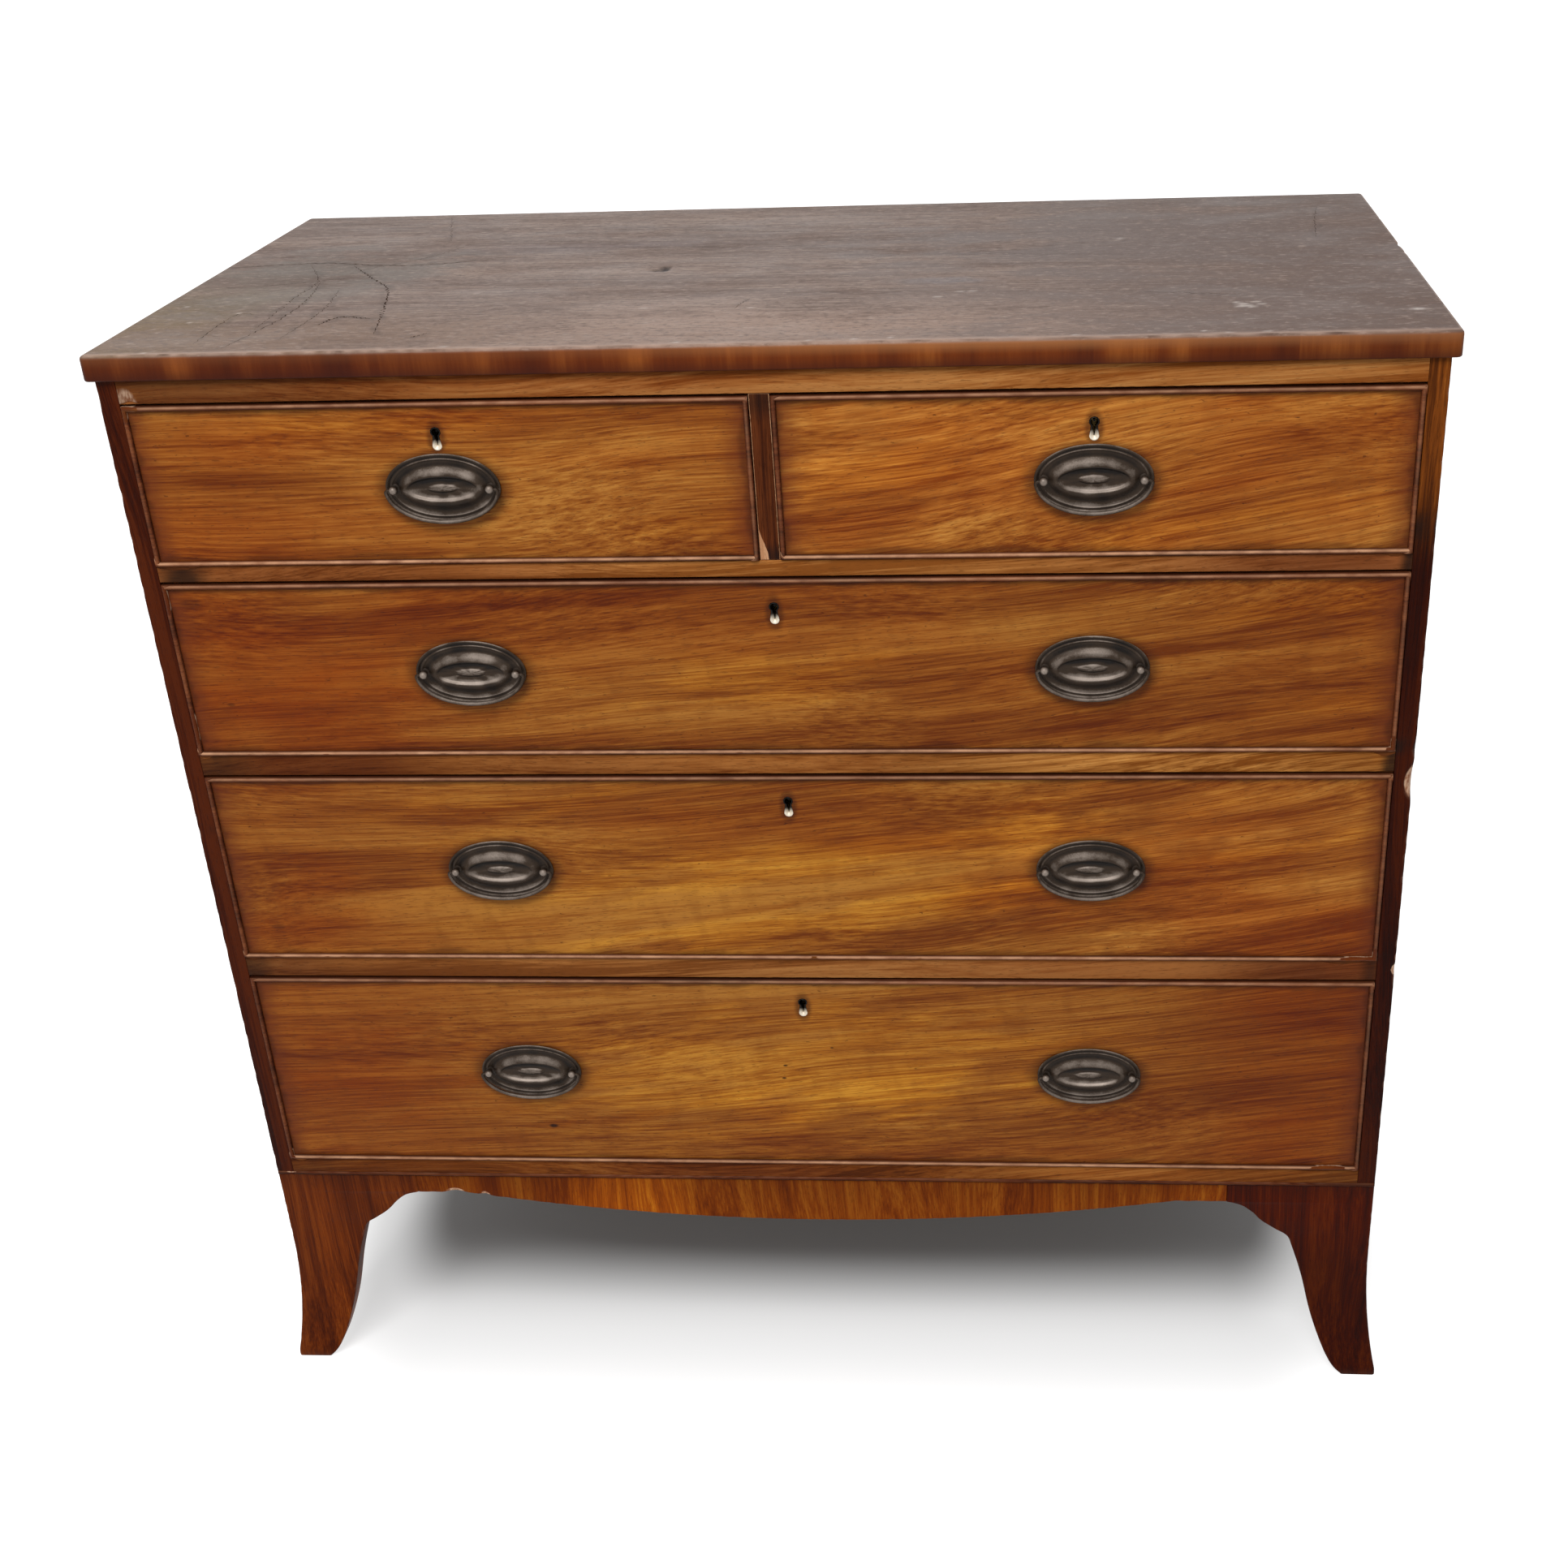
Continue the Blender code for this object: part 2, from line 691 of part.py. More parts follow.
def tray(name, drawer, width, height):
    """The two sides and the back, glued up as one; the bottom slides in below the back."""
    side_height = height - TRAY_DROP
    outline = tray_side_outline(side_height)
    outer, inner = width / 2, width / 2 - TRAY_THICKNESS
    obj = piece(name, prism(outline, "x", -outer, -inner), drawer, OAK)
    other = helper(f"{name}_right", prism(outline, "x", inner, outer), drawer)
    bottom_middle = BOTTOM_RAISE + BOTTOM_THICKNESS / 2
    lap = TRAY_THICKNESS / 2
    back = block(
        (-inner - lap, DRAWER_LENGTH - TRAY_THICKNESS, bottom_middle),
        (inner + lap, DRAWER_LENGTH, height - TRAY_BACK_DROP),
    )
    join(obj, helper(f"{name}_back", back, drawer), other)
    return obj


def drawer_bottom(name, drawer, width):
    half = width / 2 - TRAY_THICKNESS + GROOVE_DEPTH
    low = (-half, FRONT_THICKNESS - FRONT_GROOVE, BOTTOM_RAISE)
    high = (half, DRAWER_LENGTH, BOTTOM_RAISE + BOTTOM_THICKNESS)
    piece(name, block(low, high), drawer, PINE)
    groove = block(
        (low[0] - GAP, low[1] - GAP, low[2] - GAP),
        (high[0] + GAP, high[1] + OVERRUN, high[2] + GAP),
    )
    return helper(f"{name}_groove", groove, drawer)


def keyhole(middle, wall):
    """A keyhole outline, a round eye over a slot that widens to a round foot, grown by a wall."""
    eye, foot_radius = KEYHOLE_RADIUS + wall, KEYHOLE_FOOT + wall
    neck = KEYHOLE_NECK + wall
    eye_middle = middle + KEYHOLE_HEIGHT / 2 - KEYHOLE_RADIUS
    foot_middle = middle - KEYHOLE_HEIGHT / 2 + KEYHOLE_FOOT
    dip = math.asin(neck / eye)
    upper = arc((0, eye_middle), eye, -math.pi / 2 + dip, 1.5 * math.pi - dip, ROUND_SIDES)
    lower = arc((0, foot_middle), foot_radius, math.pi, math.tau, BEAD_STEPS)
    return upper + lower


def lock(key, drawer, height):
    """A lock let into the back of a front: its case with the keyhole's liner, and its bolt."""
    half, back = LOCK_WIDTH / 2, FRONT_THICKNESS
    front, low = FRONT_THICKNESS - LOCK_THICKNESS, height - LOCK_HEIGHT
    middle = height - KEYHOLE_DROP
    slot_half, slot_depth = BOLT_WIDTH / 2 + GAP, BOLT_THICKNESS / 2 + GAP
    slot_floor = height - BOLT_HEIGHT - GAP
    case = piece(f"{key}_lock", block((-half, front, low), (half, back, height)), drawer, LOCK_BRASS)
    liner = prism(keyhole(middle, KEYHOLE_LINER), "y", 0, front + GAP)
    slot = block(
        (-slot_half, BOLT_Y - slot_depth, slot_floor),
        (slot_half, BOLT_Y + slot_depth, height + OVERRUN),
    )
    chamber = block(
        (-KEY_SWING, BOLT_Y - slot_depth, middle - KEY_SWING),
        (KEY_SWING, BOLT_Y + slot_depth, slot_floor + OVERRUN),
    )
    pin_middle = middle + KEYHOLE_HEIGHT / 2 - KEYHOLE_RADIUS
    pin_profile = (
        (DRILL_PIN_SETBACK, DRILL_PIN_RADIUS),
        (BOLT_Y + slot_depth + GAP, DRILL_PIN_RADIUS),
    )
    join(case, helper(f"{key}_lock_liner", liner, drawer))
    cut(
        case,
        helper(f"{key}_lock_slot", slot, drawer),
        helper(f"{key}_lock_chamber", chamber, drawer),
        helper(f"{key}_lock_keyhole", prism(keyhole(middle, 0), "y", -OVERRUN, BOLT_Y), drawer),
    )
    pin = turned(pin_profile, "y", (0, pin_middle))
    join(case, helper(f"{key}_lock_pin", pin, drawer))
    lock_bolt(f"{key}_lock_bolt", drawer, height)
    pocket = block((-half - GAP, front - GAP, low - GAP), (half + GAP, back + OVERRUN, height + OVERRUN))
    hole = prism(keyhole(middle, KEYHOLE_LINER + GAP), "y", -OVERRUN, front)
    return helper(f"{key}_lock_pocket", pocket, drawer), helper(f"{key}_front_keyhole", hole, drawer)


def lock_bolt(name, drawer, height):
    """The bolt, with the notch that the key's bit lifts it by; its origin is at its foot."""
    half = BOLT_WIDTH / 2
    talon = arc((0, 0), TALON_RADIUS, math.pi, 0, BEAD_STEPS)
    outline = [(-half, 0), *talon, (half, 0), (half, BOLT_HEIGHT), (-half, BOLT_HEIGHT)]
    form = prism(outline, "y", -BOLT_THICKNESS / 2, BOLT_THICKNESS / 2)
    piece(name, form, drawer, IRON, place=(0, BOLT_Y, height - BOLT_HEIGHT))


# Handles


def plate_ring(ring, back=0):
    across, up, proud = ring
    depth = -GAP - PLATE_BOSS * proud + back
    loop = []
    for i in range(PLATE_SIDES):
        angle = math.tau * i / PLATE_SIDES
        x = PLATE_HALF_WIDTH * across * math.cos(angle)
        loop.append((x, depth, PLATE_HALF_HEIGHT * up * math.sin(angle)))
    return loop


def stamped_plate():
    """An oval plate stamped from sheet: a rolled rim, a hollow field and a dished oval boss."""
    rings = [plate_ring(PLATE_RING_SHARES[i], PLATE_WALL) for i in PLATE_BACK_RINGS]
    rings.append(plate_ring((*PLATE_RING_SHARES[0][:2], 0)))
    rings += [plate_ring(ring) for ring in PLATE_RING_SHARES]
    return skinned(rings)


def post(across):
    """A ball-headed post with its shank through the front and its nut inside the drawer."""
    ball, neck = POST_BALL_RADIUS, POST_NECK_RADIUS
    nut = FRONT_THICKNESS + GAP
    meet = math.asin(neck / ball)
    profile = [
        (-BAIL_AXIS_PROUD - ball * math.cos(angle), ball * math.sin(angle))
        for angle in (math.pi / 6, math.pi / 3, math.pi / 2, math.pi - meet)
    ]
    profile += [
        (-GAP, neck),
        (-GAP, SHANK_RADIUS),
        (nut, SHANK_RADIUS),
        (nut, NUT_RADIUS),
        (nut + NUT_THICKNESS, NUT_RADIUS),
    ]
    return turned(profile, "y", (across * POST_OFFSET, 0))


def backplate(name, drawer, place):
    """The plate with its two posts, each bored from outside for a pin of the bail."""
    plate = piece(name, stamped_plate(), drawer, BRASS, place, smooth=True)
    for side, across in (("left", -1), ("right", 1)):
        join(plate, helper(f"{name}_{side}_post", post(across), drawer, place))
        radius = (BAIL_PIN_RADIUS + GAP) / math.cos(math.pi / BORE_SIDES)
        profile = ((across * (PIN_START - GAP), radius), (across * BAIL_HALF_WIDTH, radius))
        bore = turned(profile, "x", (-BAIL_AXIS_PROUD, 0), BORE_SIDES)
        cut(plate, helper(f"{name}_{side}_bore", bore, drawer, place))


def bail_half():
    """The right half of the bail's centre line with the radius at each point, pin first.

    The pin lies along the hinge axis, a quarter round turns it down, and a quarter of an ellipse
    runs on to the middle of the grip.
    """
    bend_middle = (BAIL_HALF_WIDTH - BAIL_BEND, -BAIL_BEND)
    shoulder = bend_middle[0] - (BAIL_RADIUS - BAIL_PIN_RADIUS)
    line = [(PIN_START, 0, BAIL_PIN_RADIUS), (shoulder, 0, BAIL_PIN_RADIUS)]
    line += [(x, z, BAIL_RADIUS) for x, z in arc(bend_middle, BAIL_BEND, math.pi / 2, 0, BEND_STEPS)]
    start = math.asin(BAIL_BEND / BAIL_DROP)
    for i in range(1, BAIL_STEPS // 2 + 1):
        angle = start + (math.pi / 2 - start) * 2 * i / BAIL_STEPS
        line.append((BAIL_HALF_WIDTH * math.cos(angle), -BAIL_DROP * math.sin(angle), BAIL_RADIUS))
    return line


def bail(name, drawer, place):
    """The swinging half-oval grip, with its origin on its hinge axis."""
    right = bail_half()
    line = right + [(-x, z, radius) for x, z, radius in reversed(right[:-1])]
    sections = []
    for i, (x, z, radius) in enumerate(line):
        before, after = line[max(i - 1, 0)], line[min(i + 1, len(line) - 1)]
        run, fall = after[0] - before[0], after[1] - before[1]
        length = math.hypot(run, fall)
        loop = []
        for j in range(BAIL_SIDES):
            angle = math.tau * (j + 0.5) / BAIL_SIDES
            side = radius * math.cos(angle) / length
            loop.append((x - fall * side, radius * math.sin(angle), z + run * side))
        sections.append(loop)
    piece(name, skinned(sections), drawer, BRASS, place, smooth=True)


def shank_holes(name, drawer, handles):
    radius = SHANK_RADIUS + GAP
    profile = ((-OVERRUN, radius), (FRONT_THICKNESS + OVERRUN, radius))
    forms = []
    for x, z in handles:
        forms += [turned(profile, "y", (x + across * POST_OFFSET, z)) for across in (-1, 1)]
    return helper(name, gathered(forms), drawer)


def drawer(key, case, centre, width, sill, opening, handle_level, handle_names):
    """One whole drawer on the empty that slides with it."""
    height = opening - GAP - DRAWER_TOP_GAP
    slide = hold(f"{key}_drawer_slide", case, (centre, 0, sill + GAP))
    front = piece(f"{key}_drawer_front", beaded_front(width, height), slide, MAHOGANY_FRONT)
    sides = tray(f"{key}_drawer_tray", slide, width, height)
    groove = drawer_bottom(f"{key}_drawer_bottom", slide, width)
    cut(sides, groove)
    sockets = helper(f"{key}_sockets", tail_sockets(width, height - TRAY_DROP), slide)
    pocket, hole = lock(key, slide, height)
    level = height / 2 + handle_level
    handles = [(0, level)]
    if len(handle_names) == 2:
        handles = [(-SHORT_CENTRE, level), (SHORT_CENTRE, level)]
    cut(front, sockets, groove, pocket, hole, shank_holes(f"{key}_shank_holes", slide, handles))
    for name, (x, z) in zip(handle_names, handles):
        backplate(f"{name}_backplate", slide, (x, 0, z))
        bail(f"{name}_bail", slide, (x, -BAIL_AXIS_PROUD, z))


def drawers(case):
    short = (SHORT_WIDTH, UPPER_RAIL_TOP, SHORT_OPENING, SHORT_HANDLE_LEVEL)
    drawer("top_left", case, -SHORT_CENTRE, *short, ("top_left",))
    drawer("top_right", case, SHORT_CENTRE, *short, ("top_right",))
    for key, sill, opening, level in (
        ("upper", MIDDLE_RAIL_TOP, UPPER_OPENING, UPPER_HANDLE_LEVEL),
        ("middle", LOWER_RAIL_TOP, MIDDLE_OPENING, MIDDLE_HANDLE_LEVEL),
        ("lower", BASE_TOP, LOWER_OPENING, LOWER_HANDLE_LEVEL),
    ):
        drawer(key, case, 0, LONG_WIDTH, sill, opening, level, (f"{key}_left", f"{key}_right"))


clear_scene()
front_plane = hold("front_plane", None, (0, FRONT_Y, 0))
carcass(front_plane)
drawers(front_plane)
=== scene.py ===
"""The look of a mahogany chest of drawers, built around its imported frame.

Lengths are in metres in the frame's own axes: X to the right along the front, Y to the back and Z
up. Each shape is worked out as whole arrays, and each finish from nodes on object coordinates.
"""
import math

import bpy
import numpy as np
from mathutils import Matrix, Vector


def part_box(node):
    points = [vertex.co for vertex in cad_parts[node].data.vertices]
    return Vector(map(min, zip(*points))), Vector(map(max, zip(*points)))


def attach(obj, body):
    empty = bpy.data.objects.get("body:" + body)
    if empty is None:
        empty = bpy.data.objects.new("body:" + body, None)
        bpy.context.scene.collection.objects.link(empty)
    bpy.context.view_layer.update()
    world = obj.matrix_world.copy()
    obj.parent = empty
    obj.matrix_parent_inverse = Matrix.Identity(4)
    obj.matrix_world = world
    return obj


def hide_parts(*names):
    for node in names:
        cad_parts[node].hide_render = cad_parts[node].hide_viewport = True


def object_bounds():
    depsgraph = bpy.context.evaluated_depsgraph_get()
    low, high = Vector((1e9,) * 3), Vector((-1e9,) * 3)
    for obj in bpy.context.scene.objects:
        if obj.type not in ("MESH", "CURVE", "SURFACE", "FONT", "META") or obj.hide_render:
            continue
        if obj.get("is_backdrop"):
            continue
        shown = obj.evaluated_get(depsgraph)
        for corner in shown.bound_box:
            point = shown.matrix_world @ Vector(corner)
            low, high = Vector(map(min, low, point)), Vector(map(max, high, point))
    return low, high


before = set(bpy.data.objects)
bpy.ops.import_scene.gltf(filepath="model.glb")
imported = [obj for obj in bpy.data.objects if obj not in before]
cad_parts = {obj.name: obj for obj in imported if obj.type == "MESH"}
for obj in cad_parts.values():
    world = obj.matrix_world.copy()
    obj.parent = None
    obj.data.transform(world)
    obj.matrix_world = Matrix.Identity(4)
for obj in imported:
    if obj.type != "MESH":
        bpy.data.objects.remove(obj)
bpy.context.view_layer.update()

MM = 0.001
TURN = math.tau
# A reach that takes in everything
FAR = 1e3
# How strongly the six points round an eased corner are worn: none where the flat faces begin
ON_ARRIS = np.array((0.0, 0.6, 1.0, 1.0, 0.6, 0.0))

# The chest's own sizes, read from the frame or repeated from the part
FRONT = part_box("base_rail")[0].y
CASE_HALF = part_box("left_side")[0].x * -1
CASE_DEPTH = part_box("back_boards")[1].y - FRONT
CASE_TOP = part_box("left_side")[1].z
INSIDE_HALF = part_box("left_side")[1].x * -1
FOOT_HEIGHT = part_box("base_rail")[0].z
APRON_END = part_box("left_side")[0].z
FOOT_ARM = CASE_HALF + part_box("front_left_foot")[1].x
FOOT_ARM_THICKNESS = 20 * MM
BACK_ARM = CASE_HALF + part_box("back_left_foot")[1].x
FOOT_SPLAY = -CASE_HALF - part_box("front_left_foot")[0].x
FLARE_HEIGHT = 150 * MM
FLARE_POWER = 2.3
APRON_ARC_HALF = 340 * MM
FOOT_EDGE_SHARES = np.array([
    (0.0, 0.255), (0.095, 0.324), (0.32, 0.397), (0.55, 0.455), (0.73, 0.53), (0.80, 0.575),
    (0.845, 0.67), (0.89, 0.757), (0.94, 0.825), (0.98, 0.903), (1.0, 1.0),
])
TOP_EASE = 3.5 * MM
TOP_CORNER = 5 * MM
BEAD = 4 * MM
BEAD_PROUD = 3 * MM
KEYHOLE_DROP = 30 * MM
HANDLE_HALF = np.array((46.5, 28.0)) * MM
POST_OFFSET = 39 * MM
HINGE_PROUD = 6.5 * MM

DRAWERS = {
    "top_left": ("top_left",),
    "top_right": ("top_right",),
    "upper": ("upper_left", "upper_right"),
    "middle": ("middle_left", "middle_right"),
    "lower": ("lower_left", "lower_right"),
}


# Numbers


def tone(red, green, blue):
    """A colour as it should look, from 0 to 255, in the linear values that shaders take."""
    return (*[((v / 255 + 0.055) / 1.055) ** 2.4 for v in (red, green, blue)], 1.0)


def ripple(share, seed, least, most):
    """Smooth noise between about -1 and 1 along a closed run from 0 to 1.

    It is a sum of twelve sines, each with a whole number of waves and a random phase.
    """
    random = np.random.default_rng(seed)
    waves = random.integers(least, most, 12)
    phases = random.uniform(0, TURN, 12)
    return np.sin(TURN * waves * np.asarray(share)[..., None] + phases).sum(-1) / 4.5


def bump_at(value, centre, width):
    """1 at a centre, falling smoothly to 0 at a width on both sides of it."""
    return np.clip(1 - ((value - centre) / width) ** 2, 0, 1) ** 2


def peak(value, centre, width):
    """A bell curve: 1 at its centre, falling off over a width."""
    return np.exp(-(((value - centre) / width) ** 2))


def greatest(places, spots):
    """The greatest of several bumps at each place: (centre, reach, strength) in millimetres."""
    bumps = [strength * bump_at(places, centre * MM, reach * MM) for centre, reach, strength in spots]
    return np.max([np.zeros(len(places)), *bumps], axis=0)


def through(points, steps):
    """A Catmull-Rom curve through points: a cubic blend of each four, with the ends held."""
    points = np.asarray(points, float)
    padded = np.concatenate([points[:1], points, points[-1:]])
    a, b, c, d = (padded[i : len(padded) - 3 + i, None] for i in range(4))
    t = np.linspace(0, 1, steps, endpoint=False)[None, :, None]
    curve = b + 0.5 * t * (c - a + t * (2 * a - 5 * b + 4 * c - d + t * (3 * (b - c) + d - a)))
    return np.concatenate([curve.reshape(-1, points.shape[1]), points[-1:]])


def corners_of(*pairs):
    """Corner points for every step of a run, from numbers or one value for each step."""
    values = np.broadcast_arrays(*[value for pair in pairs for value in pair])
    return np.stack(values, -1).reshape(*values[0].shape, -1, 2)


def rounded(corners, radii, steps):
    """Outlines with square corners, each corner eased by a quarter circle of its own radius.

    The circle's centre lies one radius in along both edges, and the arc runs between the points
    where it touches them.
    """
    into = np.roll(corners, 1, axis=-2) - corners
    out = np.roll(corners, -1, axis=-2) - corners
    into /= np.linalg.norm(into, axis=-1, keepdims=True)
    out /= np.linalg.norm(out, axis=-1, keepdims=True)
    radii = np.broadcast_to(radii, corners.shape[:-1])[..., None, None]
    t = np.linspace(0, math.pi / 2, steps + 1)[:, None]
    into, out, corner = into[..., None, :], out[..., None, :], corners[..., None, :]
    arcs = corner + radii * (into * (1 - np.sin(t)) + out * (1 - np.cos(t)))
    return arcs.reshape(*corners.shape[:-2], -1, 2)


def middle_of(node):
    """The middle of a node's box."""
    low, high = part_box(node)
    return (low + high) / 2


# Meshes


def faces_between(index, wrap=True):
    """Four-sided faces between neighbouring rows and columns of a table of point numbers."""
    here, beside = (index, np.roll(index, -1, axis=1)) if wrap else (index[:, :-1], index[:, 1:])
    return np.stack([here[:-1], beside[:-1], beside[1:], here[1:]], -1).reshape(-1, 4).tolist()


def skin(loops, looped=False):
    """A closed skin over loops of points: capped at both ends, or joined end to end."""
    loops = np.asarray(loops, float)
    index = np.arange(loops.shape[0] * loops.shape[1]).reshape(loops.shape[:2])
    if looped:
        return loops.reshape(-1, 3), faces_between(np.concatenate([index, index[:1]]))
    return loops.reshape(-1, 3), faces_between(index) + [index[0, ::-1].tolist(), index[-1].tolist()]


def turned(profile, sides, centre):
    """A profile of (distance along Y, radius) turned about a line along Y through a centre."""
    angle = TURN * np.arange(sides) / sides
    profile = np.asarray(profile, float)
    ring = np.stack([np.cos(angle), np.zeros(sides), np.sin(angle)], -1)
    loops = profile[:, 1, None, None] * ring + profile[:, 0, None, None] * np.array((0, 1, 0))
    return skin(loops + np.array(centre))


def inside_out(points, faces):
    """Whether a closed shape's faces point inwards, from the sign of its volume."""
    total = 0.0
    for count in {len(face) for face in faces}:
        block = points[np.array([face for face in faces if len(face) == count])]
        for i in range(1, count - 1):
            total += np.einsum("ij,ij->", block[:, 0], np.cross(block[:, i], block[:, i + 1]))
    return total < 0


def build(name, parts, finish, body, stands_for=(), crease=38, marks=None):
    """One piece from closed parts of (points, faces), on its body, with its marks as attributes."""
    points, faces = [], []
    for part_points, part_faces in parts:
        start = sum(len(p) for p in points)
        if inside_out(part_points, part_faces):
            part_faces = [face[::-1] for face in part_faces]
        points.append(part_points)
        faces += [[start + i for i in face] for face in part_faces]
    mesh = bpy.data.meshes.new(name)
    mesh.from_pydata(np.concatenate(points).tolist(), [], faces)
    for mark, values in (marks or {}).items():
        layer = mesh.attributes.new(mark, "FLOAT", "POINT")
        layer.data.foreach_set("value", np.ravel(values).astype(np.float32))
    mesh.shade_smooth()
    mesh.set_sharp_from_angle(angle=math.radians(crease))
    mesh.materials.append(finish)
    obj = bpy.data.objects.new(name, mesh)
    bpy.context.scene.collection.objects.link(obj)
    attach(obj, body)
    if stands_for:
        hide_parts(*stands_for)


# Finishes


class Outlet:
    """What a node gives out. Arithmetic on it adds Math nodes and gives back their outlets."""

    def __init__(self, nodes, socket):
        self.nodes, self.socket = nodes, socket

    def maths(self, way, *others):
        """A Math node's result on this outlet and others."""
        return self.nodes.add("Math", enumerate((self, *others)), operation=way)

    def __add__(self, other):
        return self.maths("ADD", other)

    def __sub__(self, other):
        return self.maths("SUBTRACT", other)

    def __rsub__(self, other):
        return self.nodes.add("Math", {0: other, 1: self}, operation="SUBTRACT")

    def __mul__(self, other):
        return self.maths("MULTIPLY", other)

    def __truediv__(self, other):
        return self.maths("DIVIDE", other)


class Nodes:
    """A node tree being put together. Its methods add nodes and give back their outlets."""

    def __init__(self, tree):
        self.tree = tree

    def feed(self, socket, value):
        """Links an outlet to a socket, or sets the socket's own value."""
        if isinstance(value, Outlet):
            self.tree.links.new(value.socket, socket)
        else:
            socket.default_value = value

    def add(self, kind, inputs=(), outlet=0, **settings):
        """Adds a node with its inputs and settings, and gives back one of its outlets."""
        node = self.tree.nodes.new("ShaderNode" + kind)
        for key, value in settings.items():
            setattr(node, key, value)
        for key, value in dict(inputs).items():
            self.feed(node.inputs[key], value)
        return Outlet(self, node.outputs[outlet])


class Finish(Nodes):
    """A material being put together on object coordinates."""

    def __init__(self, name, specular, roughness=0.4, metallic=0.0):
        self.material = bpy.data.materials.new(name)
        self.material.use_nodes = True
        super().__init__(self.material.node_tree)
        self.shader = self.tree.nodes["Principled BSDF"].inputs
        self.feed(self.shader["Roughness"], roughness)
        self.feed(self.shader["Metallic"], metallic)
        self.feed(self.shader["Specular IOR Level"], specular)
        self.place = self.add("TexCoord", outlet="Object")

    def laid(self, size, turn=(0, 0, 0), centre=(0, 0, 0), place=None):
        """The place counted in a pattern's own sizes, with the pattern centred and turned."""
        inputs = {"Vector": place or self.place, "Location": centre, "Scale": size}
        inputs["Rotation"] = [math.radians(a) for a in turn]
        return self.add("Mapping", inputs, vector_type="TEXTURE")

    def noise(self, size, detail=3.0, rough=0.55, **laying):
        """Smooth noise, from 0 to 1, of a size along each axis."""
        inputs = {"Vector": self.laid(size, **laying), "Scale": 1.0, "Detail": detail, "Roughness": rough}
        return self.add("TexNoise", inputs, "Fac")

    def axis(self, name, place=None):
        """A place's distance along X, Y or Z."""
        return self.add("SeparateXYZ", {0: place or self.place}, name)

    def lengths(self, along, scale):
        """A number for each length along a run, cut off square: a one-way Voronoi pattern."""
        leaf = self.add("TexVoronoi", {"W": along, "Scale": scale}, "Color", voronoi_dimensions="1D")
        return self.axis("X", leaf)

    def band(self, value, start, end, low=0.0, high=1.0):
        """A value between start and end, eased to run from low to high."""
        inputs = {"Value": value, "From Min": start, "From Max": end, "To Min": low, "To Max": high}
        return self.add("MapRange", inputs, interpolation_type="SMOOTHSTEP")

    def blend(self, share, first, second, way="MIX"):
        """The first colour with a share of the second mixed or multiplied in."""
        return self.add("Mix", {0: share, 6: first, 7: second}, 2, data_type="RGBA", blend_type=way)

    def coat(self, share, colour):
        """Lays a colour over the finish so far: an outlet, or three numbers from 0 to 255."""
        second = colour if isinstance(colour, Outlet) else tone(*colour)
        self.colour = self.blend(share, self.colour, second)

    def tint(self, share, factors):
        """Multiplies the finish so far by three linear factors."""
        self.colour = self.blend(share, self.colour, (*factors, 1), "MULTIPLY")

    def ramp(self, value, *stops):
        """A colour for a value, through stops of (value, three numbers from 0 to 255)."""
        outlet = self.add("ValToRGB", {"Fac": value}, "Color")
        elements = outlet.socket.node.color_ramp.elements
        while len(elements) < len(stops):
            elements.new(0.5)
        for element, (position, colour) in zip(elements, stops):
            element.position, element.color = position, tone(*colour)
        return outlet

    def mark(self, name):
        """One of the piece's own marks, such as its wear."""
        return self.add("Attribute", outlet="Fac", attribute_name=name)

    def oval(self, centre, reach, turn=(0, 0, 0)):
        """How far a place is from a centre, counted in the reaches of a turned oval."""
        inputs = {0: self.laid(reach, turn, centre)}
        return self.add("VectorMath", inputs, "Value", operation="LENGTH")

    def done(self, height, depth, roughness=None):
        """Joins the colour, a bump of a real depth and the roughness to the shader."""
        self.feed(self.shader["Base Color"], self.colour)
        bump = self.add("Bump", {"Height": height, "Distance": depth, "Strength": 1.0})
        self.feed(self.shader["Normal"], bump)
        if roughness is not None:
            self.feed(self.shader["Roughness"], roughness)
        return self.material


# The layers of grain, from broad to fine: length, width and detail
GRAIN = ((0.60, 0.040, 2.0), (0.42, 0.0085, 1.0), (0.16, 0.0021, 1.0), (0.045, 0.0010, 2.0))


